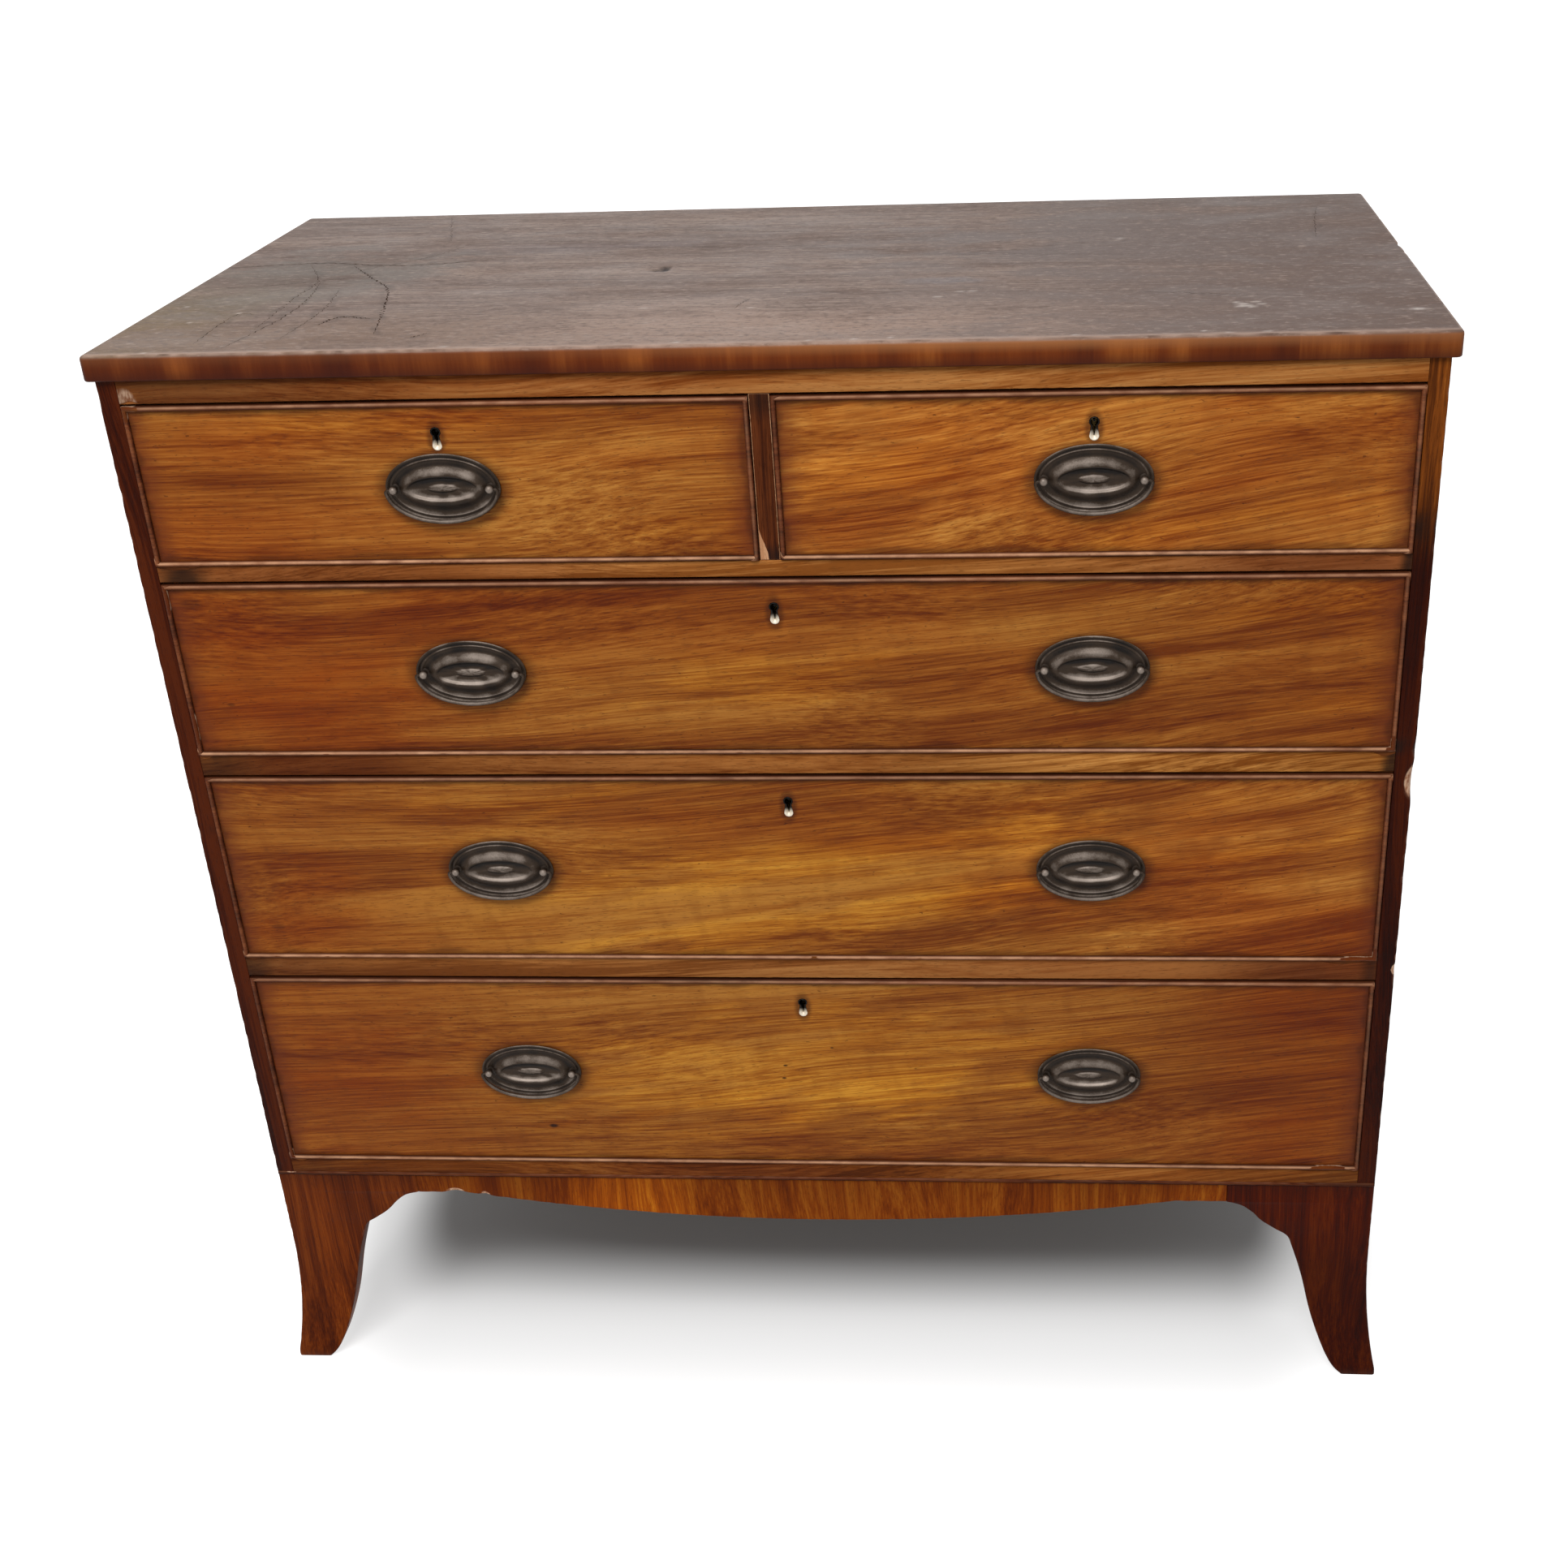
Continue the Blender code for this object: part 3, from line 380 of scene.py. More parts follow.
def timber(name, tones, grain, seed, specular, turn=(0, 0, 0), coarse=1.0, bend=0.014,
           weights=(0.40, 0.22, 0.22, 0.16), contrast=0.10, climb=None, crosswise=None):
    """Wood: a broad figure, streaks, fibres and pores, each a noise drawn out along the grain.

    The grain first wanders sideways by a slow noise, and the sum is coloured by three tones. Grain
    along X can climb: its slope then runs evenly from one value at the left end to another at the
    right end, so that its height is a square of the distance from the left end. Grain along Y turns
    along X beyond a crosswise place, as in a drawer's back.
    """
    finish = Finish(name, specular=specular)
    finish.centre = [seed * step for step in (0.713, 0.391, 0.577)]
    along = "xyz".index(grain)
    if crosswise is not None:
        x, y, z = (finish.axis(axis) for axis in "XYZ")
        swapped = finish.add("CombineXYZ", {0: y, 1: x, 2: z})
        inputs = {0: y.maths("GREATER_THAN", crosswise), 4: finish.place, 5: swapped}
        finish.place = finish.add("Mix", inputs, 1, data_type="VECTOR")

    def drawn(length, width, detail, place=None):
        """Noise drawn out along the grain."""
        sizes = [width * coarse] * 3
        sizes[along] = length * coarse
        return finish.noise(sizes, detail, turn=turn, centre=finish.centre, place=place)

    shift = finish.band(drawn(0.55, 0.16, 1.0), 0.25, 0.75, -bend, bend)
    push = {i: (0.0 if i == along else shift) for i in range(3)}
    if climb:
        first, last = (math.tan(math.radians(slope)) for slope in climb[:2])
        start, end = climb[2:]
        gone = finish.axis("X") - start
        push[2] = shift - gone * (gone * ((last - first) / (2 * (end - start))) + first)
    place = finish.add("VectorMath", {0: finish.place, 1: finish.add("CombineXYZ", push)})
    figure, streaks, fibres, specks = (
        drawn(length, width, detail, place) * weight
        for (length, width, detail), weight in zip(GRAIN, weights)
    )
    finish.value = figure + streaks + fibres + specks
    finish.pores = finish.band(drawn(0.009, 0.0007, 1.0, place), 0.60, 0.72)
    dark, middle, light = tones
    stops = (0.5 - contrast, dark), (0.5, middle), (0.5 + contrast, light)
    finish.colour = finish.ramp(finish.value, *stops)
    pore_tone = (*[v * 0.45 for v in tone(*dark)[:3]], 1)
    finish.colour = finish.blend(finish.pores * 0.45, finish.colour, pore_tone)
    return finish


def veneered_front(key):
    """A drawer's golden face: redder at its ends, darker towards its ends and along its beads, and dirty
    round its handles.
    """
    slopes, seed, left_red, right_red, ribbon, contrast = FRONT_FIGURE[key]
    low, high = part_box(f"{key}_drawer_front")
    middle = (low + high) / 2
    finish = timber(
        f"{key}_front_wood", ((108, 49, 8), (147, 85, 29), (174, 114, 48)), "x", seed, 0.08,
        weights=(0.34 + ribbon, 0.15, 0.27 - ribbon, 0.24), contrast=contrast,
        climb=(*slopes, low.x, high.x),
    )
    from_left = finish.axis("X") - low.x
    from_right = high.x - finish.axis("X")
    from_middle = (finish.axis("Z") - middle.z).maths("ABSOLUTE")
    to_end = from_left.maths("MINIMUM", from_right)
    to_edge = ((high.z - low.z) / 2 - from_middle).maths("MINIMUM", to_end)
    left = finish.band(from_left, 0.0, 0.34, left_red, 0.0)
    right = finish.band(from_right, 0.0, 0.30, right_red, 0.0)
    patch = finish.noise((0.30, 0.11, 0.11), 2.0, centre=finish.centre)
    finish.tint(left + right + finish.band(patch, 0.42, 0.66, -0.12, 0.6), tone(226, 188, 156)[:3])
    # Curl: short soft bars across the grain, where the figure turns under the polish
    lie = (0, -slopes[1], 0)
    curl = finish.noise((0.018, 0.05, 0.05), 2.0, turn=lie, centre=(seed, 0, 0))
    finish.coat(finish.band(curl, 0.48, 0.72, 0.0, 0.22), (110, 54, 16))
    wander = finish.noise((0.10, 0.02, 0.02), 3.0, 0.6, turn=lie, centre=(0, 0, seed))
    wander = finish.band(wander, 0.3, 0.7, -0.45, 0.45)
    for x, z, length, tall, rise, strength, tint in FRONT_AREAS[key]:
        away = finish.oval((x * MM, 0, z * MM), (length * MM, FAR, tall * MM), (0, -rise, 0))
        finish.tint(finish.band(away + wander, 0.2, 1.15, strength, 0.0), tint)
    fleck = finish.noise((0.006, 0.003, 0.0022), 2.0)
    finish.coat(finish.band(fleck, 0.70, 0.76, 0.0, 0.6), (58, 22, 8))
    drift = finish.band(finish.noise((0.05, 0.02, 0.02), 2.0), 0.3, 0.7, -3 * MM, 3 * MM)
    # Darker towards the left and right ends and in a band along the beads; dirt round the handles and
    # keyhole.
    finish.coat(finish.band(to_end + drift, BEAD, BEAD + 24 * MM, 0.7, 0.0), (100, 44, 20))
    edge_darkening_and_grime = finish.band(to_edge + drift, BEAD, BEAD + 6 * MM, 0.45, 0.0)
    for name in DRAWERS[key]:
        x, _, z = middle_of(f"{name}_backplate")
        halo = finish.oval((x, 0, z - 2 * MM), (HANDLE_HALF[0], FAR, HANDLE_HALF[1]))
        edge_darkening_and_grime = edge_darkening_and_grime.maths("MAXIMUM", finish.band(halo, 1.0, 1.3, 0.6, 0.0))
    keyhole = finish.oval((middle.x, 0, high.z - KEYHOLE_DROP), (5 * MM, FAR, 10 * MM))
    edge_darkening_and_grime = edge_darkening_and_grime.maths("MAXIMUM", finish.band(keyhole, 1.0, 1.9, 0.6, 0.0))
    finish.coat(edge_darkening_and_grime, (50, 18, 4))
    for x, z, reach, strength in FRONT_STAINS.get(key, ()):
        stain = finish.oval((x * MM, 0, z * MM), (reach * MM, FAR, reach * 0.5 * MM))
        finish.coat(finish.band(stain, 0.4, 1.2, strength, 0.0), (36, 14, 8))
    gloss = finish.band(finish.value, 0.4, 0.62, 0.30, 0.44)
    return finish.done(finish.value - finish.pores * 0.35, 0.25 * MM, gloss)


# Each drawer's grain: slopes in degrees at its left and right ends, seed, redness at both ends, how
# much more of the broad figure shows, and contrast
FRONT_FIGURE = {
    "top_left": ((0.5, 2.0), 3.1, 0.35, 0.30, -0.04, 0.110),
    "top_right": ((6.0, 11.0), 7.3, 0.05, 0.25, 0.0, 0.105),
    "upper": ((2.0, 9.0), 11.9, 0.9, 0.75, 0.08, 0.090),
    "middle": ((0.5, 12.0), 17.2, 0.55, 0.40, 0.06, 0.095),
    "lower": ((2.0, 9.0), 23.4, 0.9, 0.9, 0.0, 0.105),
}
DARK_RED = (0.62, 0.42, 0.30)
REDDER = (0.90, 0.70, 0.52)
DUSKY = (0.74, 0.68, 0.66)
GOLDEN = (1.36, 1.46, 1.12)
BRIGHTER = (1.34, 1.46, 1.6)
# Soft areas on the fronts: (x, z, half length, half height in millimetres, rise, strength, tint)
FRONT_AREAS = {
    "top_left": (
        (-258, 912, 600, 300, 0, 0.4, BRIGHTER), (-410, 905, 95, 26, 3, 0.55, DUSKY),
        (-120, 935, 120, 14, 4, 0.5, REDDER), (-300, 960, 160, 10, 1, 0.5, GOLDEN),
        (-60, 880, 70, 18, 2, 0.4, GOLDEN),
    ),
    "top_right": (
        (258, 912, 600, 300, 0, 1.0, BRIGHTER), (150, 930, 200, 60, 6, 0.6, BRIGHTER),
        (90, 915, 110, 30, 7, 0.5, GOLDEN), (330, 868, 170, 14, 9, 0.5, GOLDEN),
        (340, 900, 130, 8, 8, 0.4, REDDER), (440, 930, 60, 22, 6, 0.5, DUSKY),
        (250, 960, 120, 8, 6, 0.4, REDDER),
    ),
    "upper": (
        (-430, 745, 110, 60, 4, 0.7, REDDER), (-190, 812, 170, 10, 3, 0.7, DARK_RED),
        (-20, 742, 150, 26, 5, 0.8, GOLDEN), (240, 690, 190, 10, 6, 0.7, DARK_RED),
        (390, 748, 150, 9, 7, 0.6, DARK_RED), (420, 800, 90, 12, 5, 0.6, GOLDEN),
        (450, 712, 60, 14, 6, 0.6, GOLDEN), (-320, 700, 140, 9, 5, 0.5, DARK_RED),
    ),
    "middle": (
        (-260, 622, 190, 12, 3, 0.5, GOLDEN), (60, 575, 260, 24, 9, 0.9, GOLDEN),
        (40, 510, 250, 20, 9, 0.9, GOLDEN), (300, 560, 220, 16, 11, 0.5, GOLDEN),
        (430, 560, 260, 160, 6, 1.0, BRIGHTER), (0, 560, 420, 100, 4, 0.35, GOLDEN),
        (-430, 545, 60, 26, 3, 0.8, REDDER), (60, 536, 220, 6, 10, 0.6, DARK_RED),
        (330, 610, 130, 8, 11, 0.3, DARK_RED), (-40, 634, 200, 7, 6, 0.5, REDDER),
    ),
    "lower": (
        (10, 345, 300, 80, 3, 1.0, GOLDEN), (60, 320, 200, 30, 6, 0.6, GOLDEN),
        (-400, 340, 90, 70, 3, 0.7, REDDER), (430, 340, 80, 80, 3, 0.4, REDDER),
        (-180, 290, 150, 8, 5, 0.6, DARK_RED), (180, 400, 160, 9, 6, 0.6, DARK_RED),
        (300, 300, 130, 8, 5, 0.5, DARK_RED),
    ),
}
# Dark marks on the fronts: (x, z, reach, strength), the places and reach in millimetres
FRONT_STAINS = {
    "upper": ((-486, 812, 11, 0.35), (-470, 720, 4, 0.5)),
    "middle": ((-470, 500, 7, 0.3),),
    "lower": ((-245, 281, 5, 0.95), (-20, 352, 2.5, 0.9), (-22, 338, 2.5, 0.9), (24, 372, 2, 0.8)),
}


def weather(finish, areas, worn, least_rub, fleck_size=4 * MM):
    """Tints the areas, then wears pale (on the beads also as a painted highlight), breaks bare or fills
    with dirt by the piece's own marks.

    Each area is an oval of another tint: (centre, reach, strength, tint). The flecks of the wear
    are given back.
    """
    for centre, reach, strength, tint in areas:
        finish.tint(finish.band(finish.oval(centre, reach), 0.3, 1.1, strength, 0.0), tint)
    fleck = finish.noise((fleck_size,) * 3)
    # The wear mark lightens: rubbing, and on the beads also a painted highlight.
    finish.coat(finish.mark("wear") * finish.band(fleck, 0.35, 0.6, least_rub, 1.0), worn)
    torn = finish.noise((0.003, 0.003, 0.007), 2.0)
    raw = finish.ramp(torn, (0.35, (150, 96, 66)), (0.6, (222, 182, 152)))
    finish.coat(finish.band(finish.mark("bare"), 0.3, 0.6), raw)
    finish.coat(finish.mark("dirt"), (26, 16, 12))
    return fleck


def worn_wood(name, tones, seed, grain="x", worn=(150, 104, 80), areas=(), fleck_size=4 * MM,
              climb=None, contrast=0.10):
    """Polished timber that the piece's own marks wear pale (on the beads also as a painted highlight),
    break bare or fill with dirt.
    """
    finish = timber(name, tones, grain, seed, 0.05, climb=climb, contrast=contrast)
    fleck = weather(finish, areas, worn, 0.7, fleck_size)
    gloss = finish.band(fleck, 0.3, 0.7, 0.34, 0.5)
    return finish.done(finish.value - finish.pores * 0.35, 0.25 * MM, gloss)


def banded(name, tones, seed, length, unlike, areas):
    """Crossbanded veneer: grain upright, in lengths of unlike tone along the edge."""
    finish = timber(name, tones, "z", seed, 0.04, coarse=0.8)
    shade = finish.lengths((finish.axis("X") + finish.axis("Y")) / length, 1.0)
    finish.coat(finish.band(shade, 0.2, 0.95, 0.0, unlike), (60, 20, 4))
    weather(finish, areas, (150, 108, 88), 0.3)
    gloss = finish.band(finish.value, 0.4, 0.62, 0.34, 0.46)
    return finish.done(finish.value - finish.pores * 0.35, 0.25 * MM, gloss)


def bare_timber(name, tones, grain, seed, roughness=0.7, board_width=None, crosswise=None):
    """Planed wood with no polish, greyed and soiled in places, in boards of unlike tone or whole."""
    finish = timber(name, tones, grain, seed, 0.25, crosswise=crosswise)
    soil = finish.noise((0.12, 0.12, 0.12), 4.0, 0.65)
    finish.coat(finish.band(soil, 0.45, 0.72, 0.0, 0.35), (96, 72, 48))
    if board_width:
        count = (finish.axis("X") / board_width).maths("FLOOR")
        shade = finish.add("TexWhiteNoise", {"W": count}, "Value", noise_dimensions="1D")
        finish.coat(shade * 0.3, (120, 86, 54))
    gloss = finish.band(soil, 0.3, 0.7, roughness - 0.08, roughness + 0.08)
    return finish.done(finish.value - finish.pores * 0.5, 0.4 * MM, gloss)


def metal(name, dirt, skin_tone, bright, roughness, metallic=0.6, marked=False, shaded_until=None):
    """Old metal: dirt in the hollows, a dull skin, and bright where it is rubbed.

    The piece's wear mark runs from 0 in a hollow through 0.4 on the skin to 1 where fingers rub; on the
    handle plates it also paints light and shade, and on the keyhole liners a painted highlight.
    Without marks it is evenly worn. Up to a place along Y it can be painted dark, as painted shade inside a
    keyhole.
    """
    finish = Finish(name, metallic=metallic, specular=0.2)
    cloud = finish.noise((0.012, 0.012, 0.012), 4.0, 0.6)
    speck = finish.noise((0.0012, 0.0012, 0.0012))
    uneven = finish.band(cloud, 0.3, 0.7, -0.07, 0.07) + finish.band(speck, 0.3, 0.7, -0.03, 0.03)
    rub = uneven + (finish.mark("wear") if marked else 0.5)
    finish.colour = finish.ramp(rub, (0.0, dirt), (0.4, skin_tone), (1.0, bright))
    if shaded_until is not None:
        # Painted shade: dark up to the given place along Y, as on the lock's face behind a keyhole.
        painted_keyhole_shade = finish.band(finish.axis("Y"), shaded_until, shaded_until + 4 * MM, 1.0, 0.0)
        finish.coat(painted_keyhole_shade, (8, 5, 3))
    gloss = finish.band(cloud, 0.3, 0.7, roughness - 0.07, roughness + 0.09)
    return finish.done(speck + cloud, 0.12 * MM, gloss)


# Stained areas on the top: (x, y from the front, half length, half depth in millimetres, strength, colour).
# The broad dark one over the right half is partly stain and partly painted shade, as light falls from the
# left.
TOP_AREAS = (
    (330, 330, 300, 140, 0.55, (102, 94, 92)), (-505, 110, 100, 200, 0.7, (112, 92, 58)),
    (-410, 290, 140, 80, 0.75, (100, 90, 82)), (-90, 430, 160, 30, 0.4, (112, 98, 92)),
    (-190, 365, 160, 22, 0.45, (110, 94, 92)), (145, 193, 50, 16, 0.5, (118, 114, 118)),
    (20, 40, 460, 100, 0.6, (156, 129, 113)), (540, 200, 420, 950, 0.88, (88, 66, 56)),
    (-370, 50, 240, 90, 0.75, (114, 88, 70)), (330, 520, 300, 100, 0.6, (100, 84, 76)),
    (-460, 230, 120, 160, 0.6, (98, 86, 76)),
)


def faded_top():
    """The top: faded and stained on its face, crossbanded round its edge, with a painted highlight along
    the edge's upper part and painted shade along its lower part.
    """
    finish = timber(
        "top_wood", ((90, 71, 62), (119, 99, 89), (146, 126, 114)), "x", 31, 0.11,
        turn=(0, 0, -1.0), bend=0.02, weights=(0.26, 0.14, 0.28, 0.32),
    )
    wander = finish.noise((0.11, 0.05, 0.1), 4.0, 0.65)
    outline = finish.band(wander, 0.3, 0.7, -0.4, 0.4)
    for x, y, length, deep, strength, stain in TOP_AREAS:
        away = finish.oval((x * MM, FRONT + y * MM, 0), (length * MM, deep * MM, FAR))
        finish.coat(finish.band(away + outline, 0.25, 1.1, strength, 0.0), stain)
    streak = finish.noise((0.16, 0.0035, 0.1), turn=(0, 0, -1.5), centre=(0.2, 0.7, 0))
    finish.coat(finish.band(streak, 0.56, 0.70, 0.0, 0.4), (92, 74, 66))
    mottle = finish.noise((0.007, 0.0045, 0.004), 4.0, 0.65)
    finish.coat(finish.band(mottle, 0.47, 0.68, 0.0, 0.62), (86, 68, 60))
    pale = finish.noise((0.010, 0.004, 0.004), 4.0, 0.65, centre=(0.3, 0.1, 0))
    finish.coat(finish.band(pale, 0.52, 0.70, 0.0, 0.45), (168, 148, 136))
    dust = finish.noise((0.003, 0.002, 0.003), 2.0)
    finish.coat(finish.band(dust, 0.70, 0.76, 0.0, 0.2), (190, 172, 160))
    finish.coat(finish.mark("crack"), (38, 26, 22))
    # Pale scuffs, and a dotted painted highlight along the front arris.
    finish.coat(finish.mark("scuff_and_highlight"), (206, 194, 186))
    face = finish.colour
    # The banded edge: lengths of unlike tone, some fading into the next and some cut off square
    along = finish.axis("X") + finish.axis("Y")
    inputs = {"W": along, "Scale": 26.0, "Detail": 1.0}
    fading = finish.add("TexNoise", inputs, "Fac", noise_dimensions="1D")
    upright = finish.noise((0.004, 0.004, 0.05), 3.0, 0.6)
    mixed = finish.lengths(along, 14.0) * 0.14 + fading * 0.70 + upright * 0.26
    stops = (0.30, (62, 20, 1)), (0.54, (96, 41, 8)), (0.86, (150, 84, 34))
    finish.colour = finish.ramp(mixed, *stops)
    low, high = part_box("top_board")
    # Painted highlight on the upper part of the edge, stronger towards the right.
    light = finish.band(finish.axis("Z"), high.z - 12 * MM, high.z - 2 * MM, 0.0, 0.6)
    finish.coat(light * finish.band(finish.axis("X"), -0.15, 0.15, 0.5, 1.0), (148, 96, 60))
    for x, tint in ((-0.32, (0.76, 0.66, 0.62)), (0.10, (1.35, 1.4, 1.3))):
        away = finish.oval((x, 0, 0), (0.34, FAR, FAR))
        finish.tint(finish.band(away, 0.3, 1.1, 1.0, 0.0), tint)
    # Painted shade along the lower part of the edge.
    finish.coat(finish.band(finish.axis("Z"), low.z, low.z + 12 * MM, 0.62, 0.0), (50, 12, 1))
    finish.coat(finish.mark("bare"), (206, 168, 138))
    finish.colour = finish.blend(finish.mark("edge"), face, finish.colour)
    # The front arris and the face beside it: partly worn, partly a painted highlight.
    finish.coat(finish.mark("wear"), (176, 148, 132))
    swell = finish.noise((0.16, 0.06, 0.1), 2.0)
    gloss = finish.band(wander + dust * 0.3, 0.4, 0.9, 0.36, 0.56)
    return finish.done(finish.value + dust * 0.1 + swell * 2.0, 0.3 * MM, gloss)


# Carcass


# Cracks and scratches on the top: (strength, width, x and y of their points), in millimetres
TOP_CRACKS = (
    (1.0, 1.3, (-410, 304, -378, 253, -348, 204, -326, 117, -311, 46)),
    (1.0, 1.5, (-522, 305, -446, 317, -359, 299, -277, 320)),
    (0.9, 0.9, (-419, 238, -408, 170, -408, 100, -422, 10)),
    (0.8, 0.8, (-392, 208, -382, 140, -382, 82, -385, 37)),
    (0.8, 0.9, (-406, 116, -430, 119, -452, 120, -451, 27)),
    (0.8, 0.8, (-451, 308, -422, 240, -422, 184, -417, 69)),
    (0.7, 0.7, (-380, 262, -440, 235, -500, 222)),
    (0.6, 0.7, (-395, 285, -350, 330, -320, 390)),
    (1.0, 2.2, (-368, 81, -361, 104, -350, 106, -341, 103, -330, 99)),
    (0.9, 1.6, (-278, 34, -272, 40, -268, 47)),
    (0.7, 0.9, (-209, 441, -110, 428, 4, 406)),
    (0.7, 0.9, (-273, 361, -120, 352, 11, 342)),
    (0.6, 0.7, (-378, 519, -362, 460, -346, 401)),
    (0.7, 0.8, (479, 472, 470, 410, 462, 334)),
    (0.7, 1.0, (-23, 141, -28, 126, -31, 109)),
    (0.6, 0.8, (229, 153, 330, 132, 436, 112)),
    (0.5, 0.7, (40, 300, 180, 292, 300, 280)),
)
# Clusters of pale scuffs on the top: (x, y, spread in x and in y, how many, size), in millimetres. The row
# 3 mm from the front is a dotted painted highlight along the arris.
TOP_SCUFFS = (
    (380, 88, 9, 5, 12, 1.9), (507, 62, 1, 1, 1, 3.4), (0, 150, 460, 130, 14, 1.4),
    (136, 145, 10, 12, 3, 1.8), (285, 344, 3, 3, 1, 2.2), (0, 3, 400, 1.5, 9, 1.6),
)


def distance_to_line(x, y, line):
    """The distance of every place from a broken line: the least over its straight parts."""
    points = np.array(line, float).reshape(-1, 2)
    best = np.full(x.shape, np.inf)
    for (ax, ay), (bx, by) in zip(points, points[1:]):
        run = np.array((bx - ax, by - ay))
        share = np.clip(((x - ax) * run[0] + (y - ay) * run[1]) / (run @ run), 0, 1)
        best = np.minimum(best, np.hypot(x - ax - share * run[0], y - ay - share * run[1]))
    return best


def top_surface_marks(x, y):
    """Crack strengths, and scuff strengths that include a dotted painted highlight along the front, over
    the top's face, from distances to lines and to spots.
    """
    x, y = x / MM, (y - FRONT) / MM
    wobble_x = x + 3 * np.sin(y / 9.0) + 2 * np.sin(x / 5.0 + y / 13.0)
    wobble_y = y + 3 * np.sin(x / 11.0) + 1.5 * np.sin(y / 6.0)
    crack = np.zeros_like(x)
    for strength, width, line in TOP_CRACKS:
        near = peak(distance_to_line(wobble_x, wobble_y, line), 0, 2.2 + width)
        breaks = 0.65 + 0.35 * np.sin(x / 17.0 + y / 7.0 + width * 9)
        crack = np.maximum(crack, 0.38 * strength * near * breaks)
    hole = peak(((x + 115) / 5.0) ** 2 + ((y - 262) / 10.0) ** 2, 0, 1)
    hole = np.maximum(hole, 0.8 * peak(np.hypot((x + 122) / 6.0, (y - 256) / 4.0), 0, 1))
    random = np.random.default_rng(5)
    scuff_and_highlight = np.zeros_like(x)
    for centre_x, centre_y, spread_x, spread_y, count, size in TOP_SCUFFS:
        spots = random.normal((centre_x, centre_y), (spread_x, spread_y), (count, 2))
        for spot_x, spot_y in spots:
            scuff_and_highlight = np.maximum(scuff_and_highlight, peak(np.hypot((x - spot_x) / 1.5, y - spot_y), 0, size))
    return np.maximum(crack, hole), scuff_and_highlight * 0.75, hole


def top_level(x, y):
    """The height of the top's face: a faint swell, dying away towards the edges."""
    low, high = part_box("top_board")
    to_side = np.minimum(x - low.x, high.x - x)
    to_edge = np.minimum(to_side, np.minimum(y - low.y, high.y - y)) - TOP_EASE
    swell = 0.25 * MM * (np.sin(x * 9 + 1) * np.sin(y * 13 + 2) - 1)
    return high.z + swell * np.clip(to_edge / 0.02, 0, 1)


def top_cracks():
    """The dirt in the top's cracks: thin slivers carried along wandering lines.

    Each line is a smooth curve through its points, pushed sideways by noise. The section is a flat
    diamond whose width falls to nothing at both ends and at the breaks.
    """
    finish = Finish("crack_dirt", roughness=0.8, specular=0.0)
    cloud = finish.noise((0.02, 0.02, 0.02), 2.0)
    finish.colour = finish.ramp(cloud, (0.35, (44, 30, 26)), (0.65, (72, 54, 46)))
    grain = finish.noise((0.001, 0.001, 0.001), 2.0)
    parts = []
    for i, (strength, width, line) in enumerate(TOP_CRACKS):
        points = np.array(line, float).reshape(-1, 2) * MM + (0, FRONT)
        curve = through(points, 60)
        steps = np.linalg.norm(np.diff(curve, axis=0), axis=1)
        length = steps.sum()
        share = np.linspace(0, 1, max(24, int(length / (1.2 * MM))))
        travelled = np.concatenate([[0], steps.cumsum()]) / length
        curve = np.stack([np.interp(share, travelled, curve[:, k]) for k in (0, 1)], -1)
        way = np.gradient(curve, axis=0)
        way /= np.linalg.norm(way, axis=1, keepdims=True)
        aside = np.stack([-way[:, 1], way[:, 0]], -1)
        waves = max(4, int(length / (30 * MM)))
        between_ends = np.sin(math.pi * share)
        sway = 1.3 * MM * ripple(share, 300 + i, waves, waves * 5) * between_ends**0.5
        curve += aside * sway[:, None]
        half = 0.5 * width * strength * MM * between_ends**0.35
        half *= np.clip(0.75 + 0.6 * ripple(share, 330 + i, waves, waves * 6), 0.12, 1.3)
        half = np.maximum(half, 0.02 * MM)[:, None]
        levels = top_level(curve[:, 0], curve[:, 1])[:, None]
        loops = np.stack([
            np.concatenate([curve + aside * side * half, levels + lift * MM], 1)
            for side, lift in ((-1, 0.01), (0, -0.15), (1, 0.01), (0, 0.03))
        ], 1)
        parts.append(skin(loops))
    build("top_cracks", parts, finish.done(grain, 0.1 * MM), "carcass")


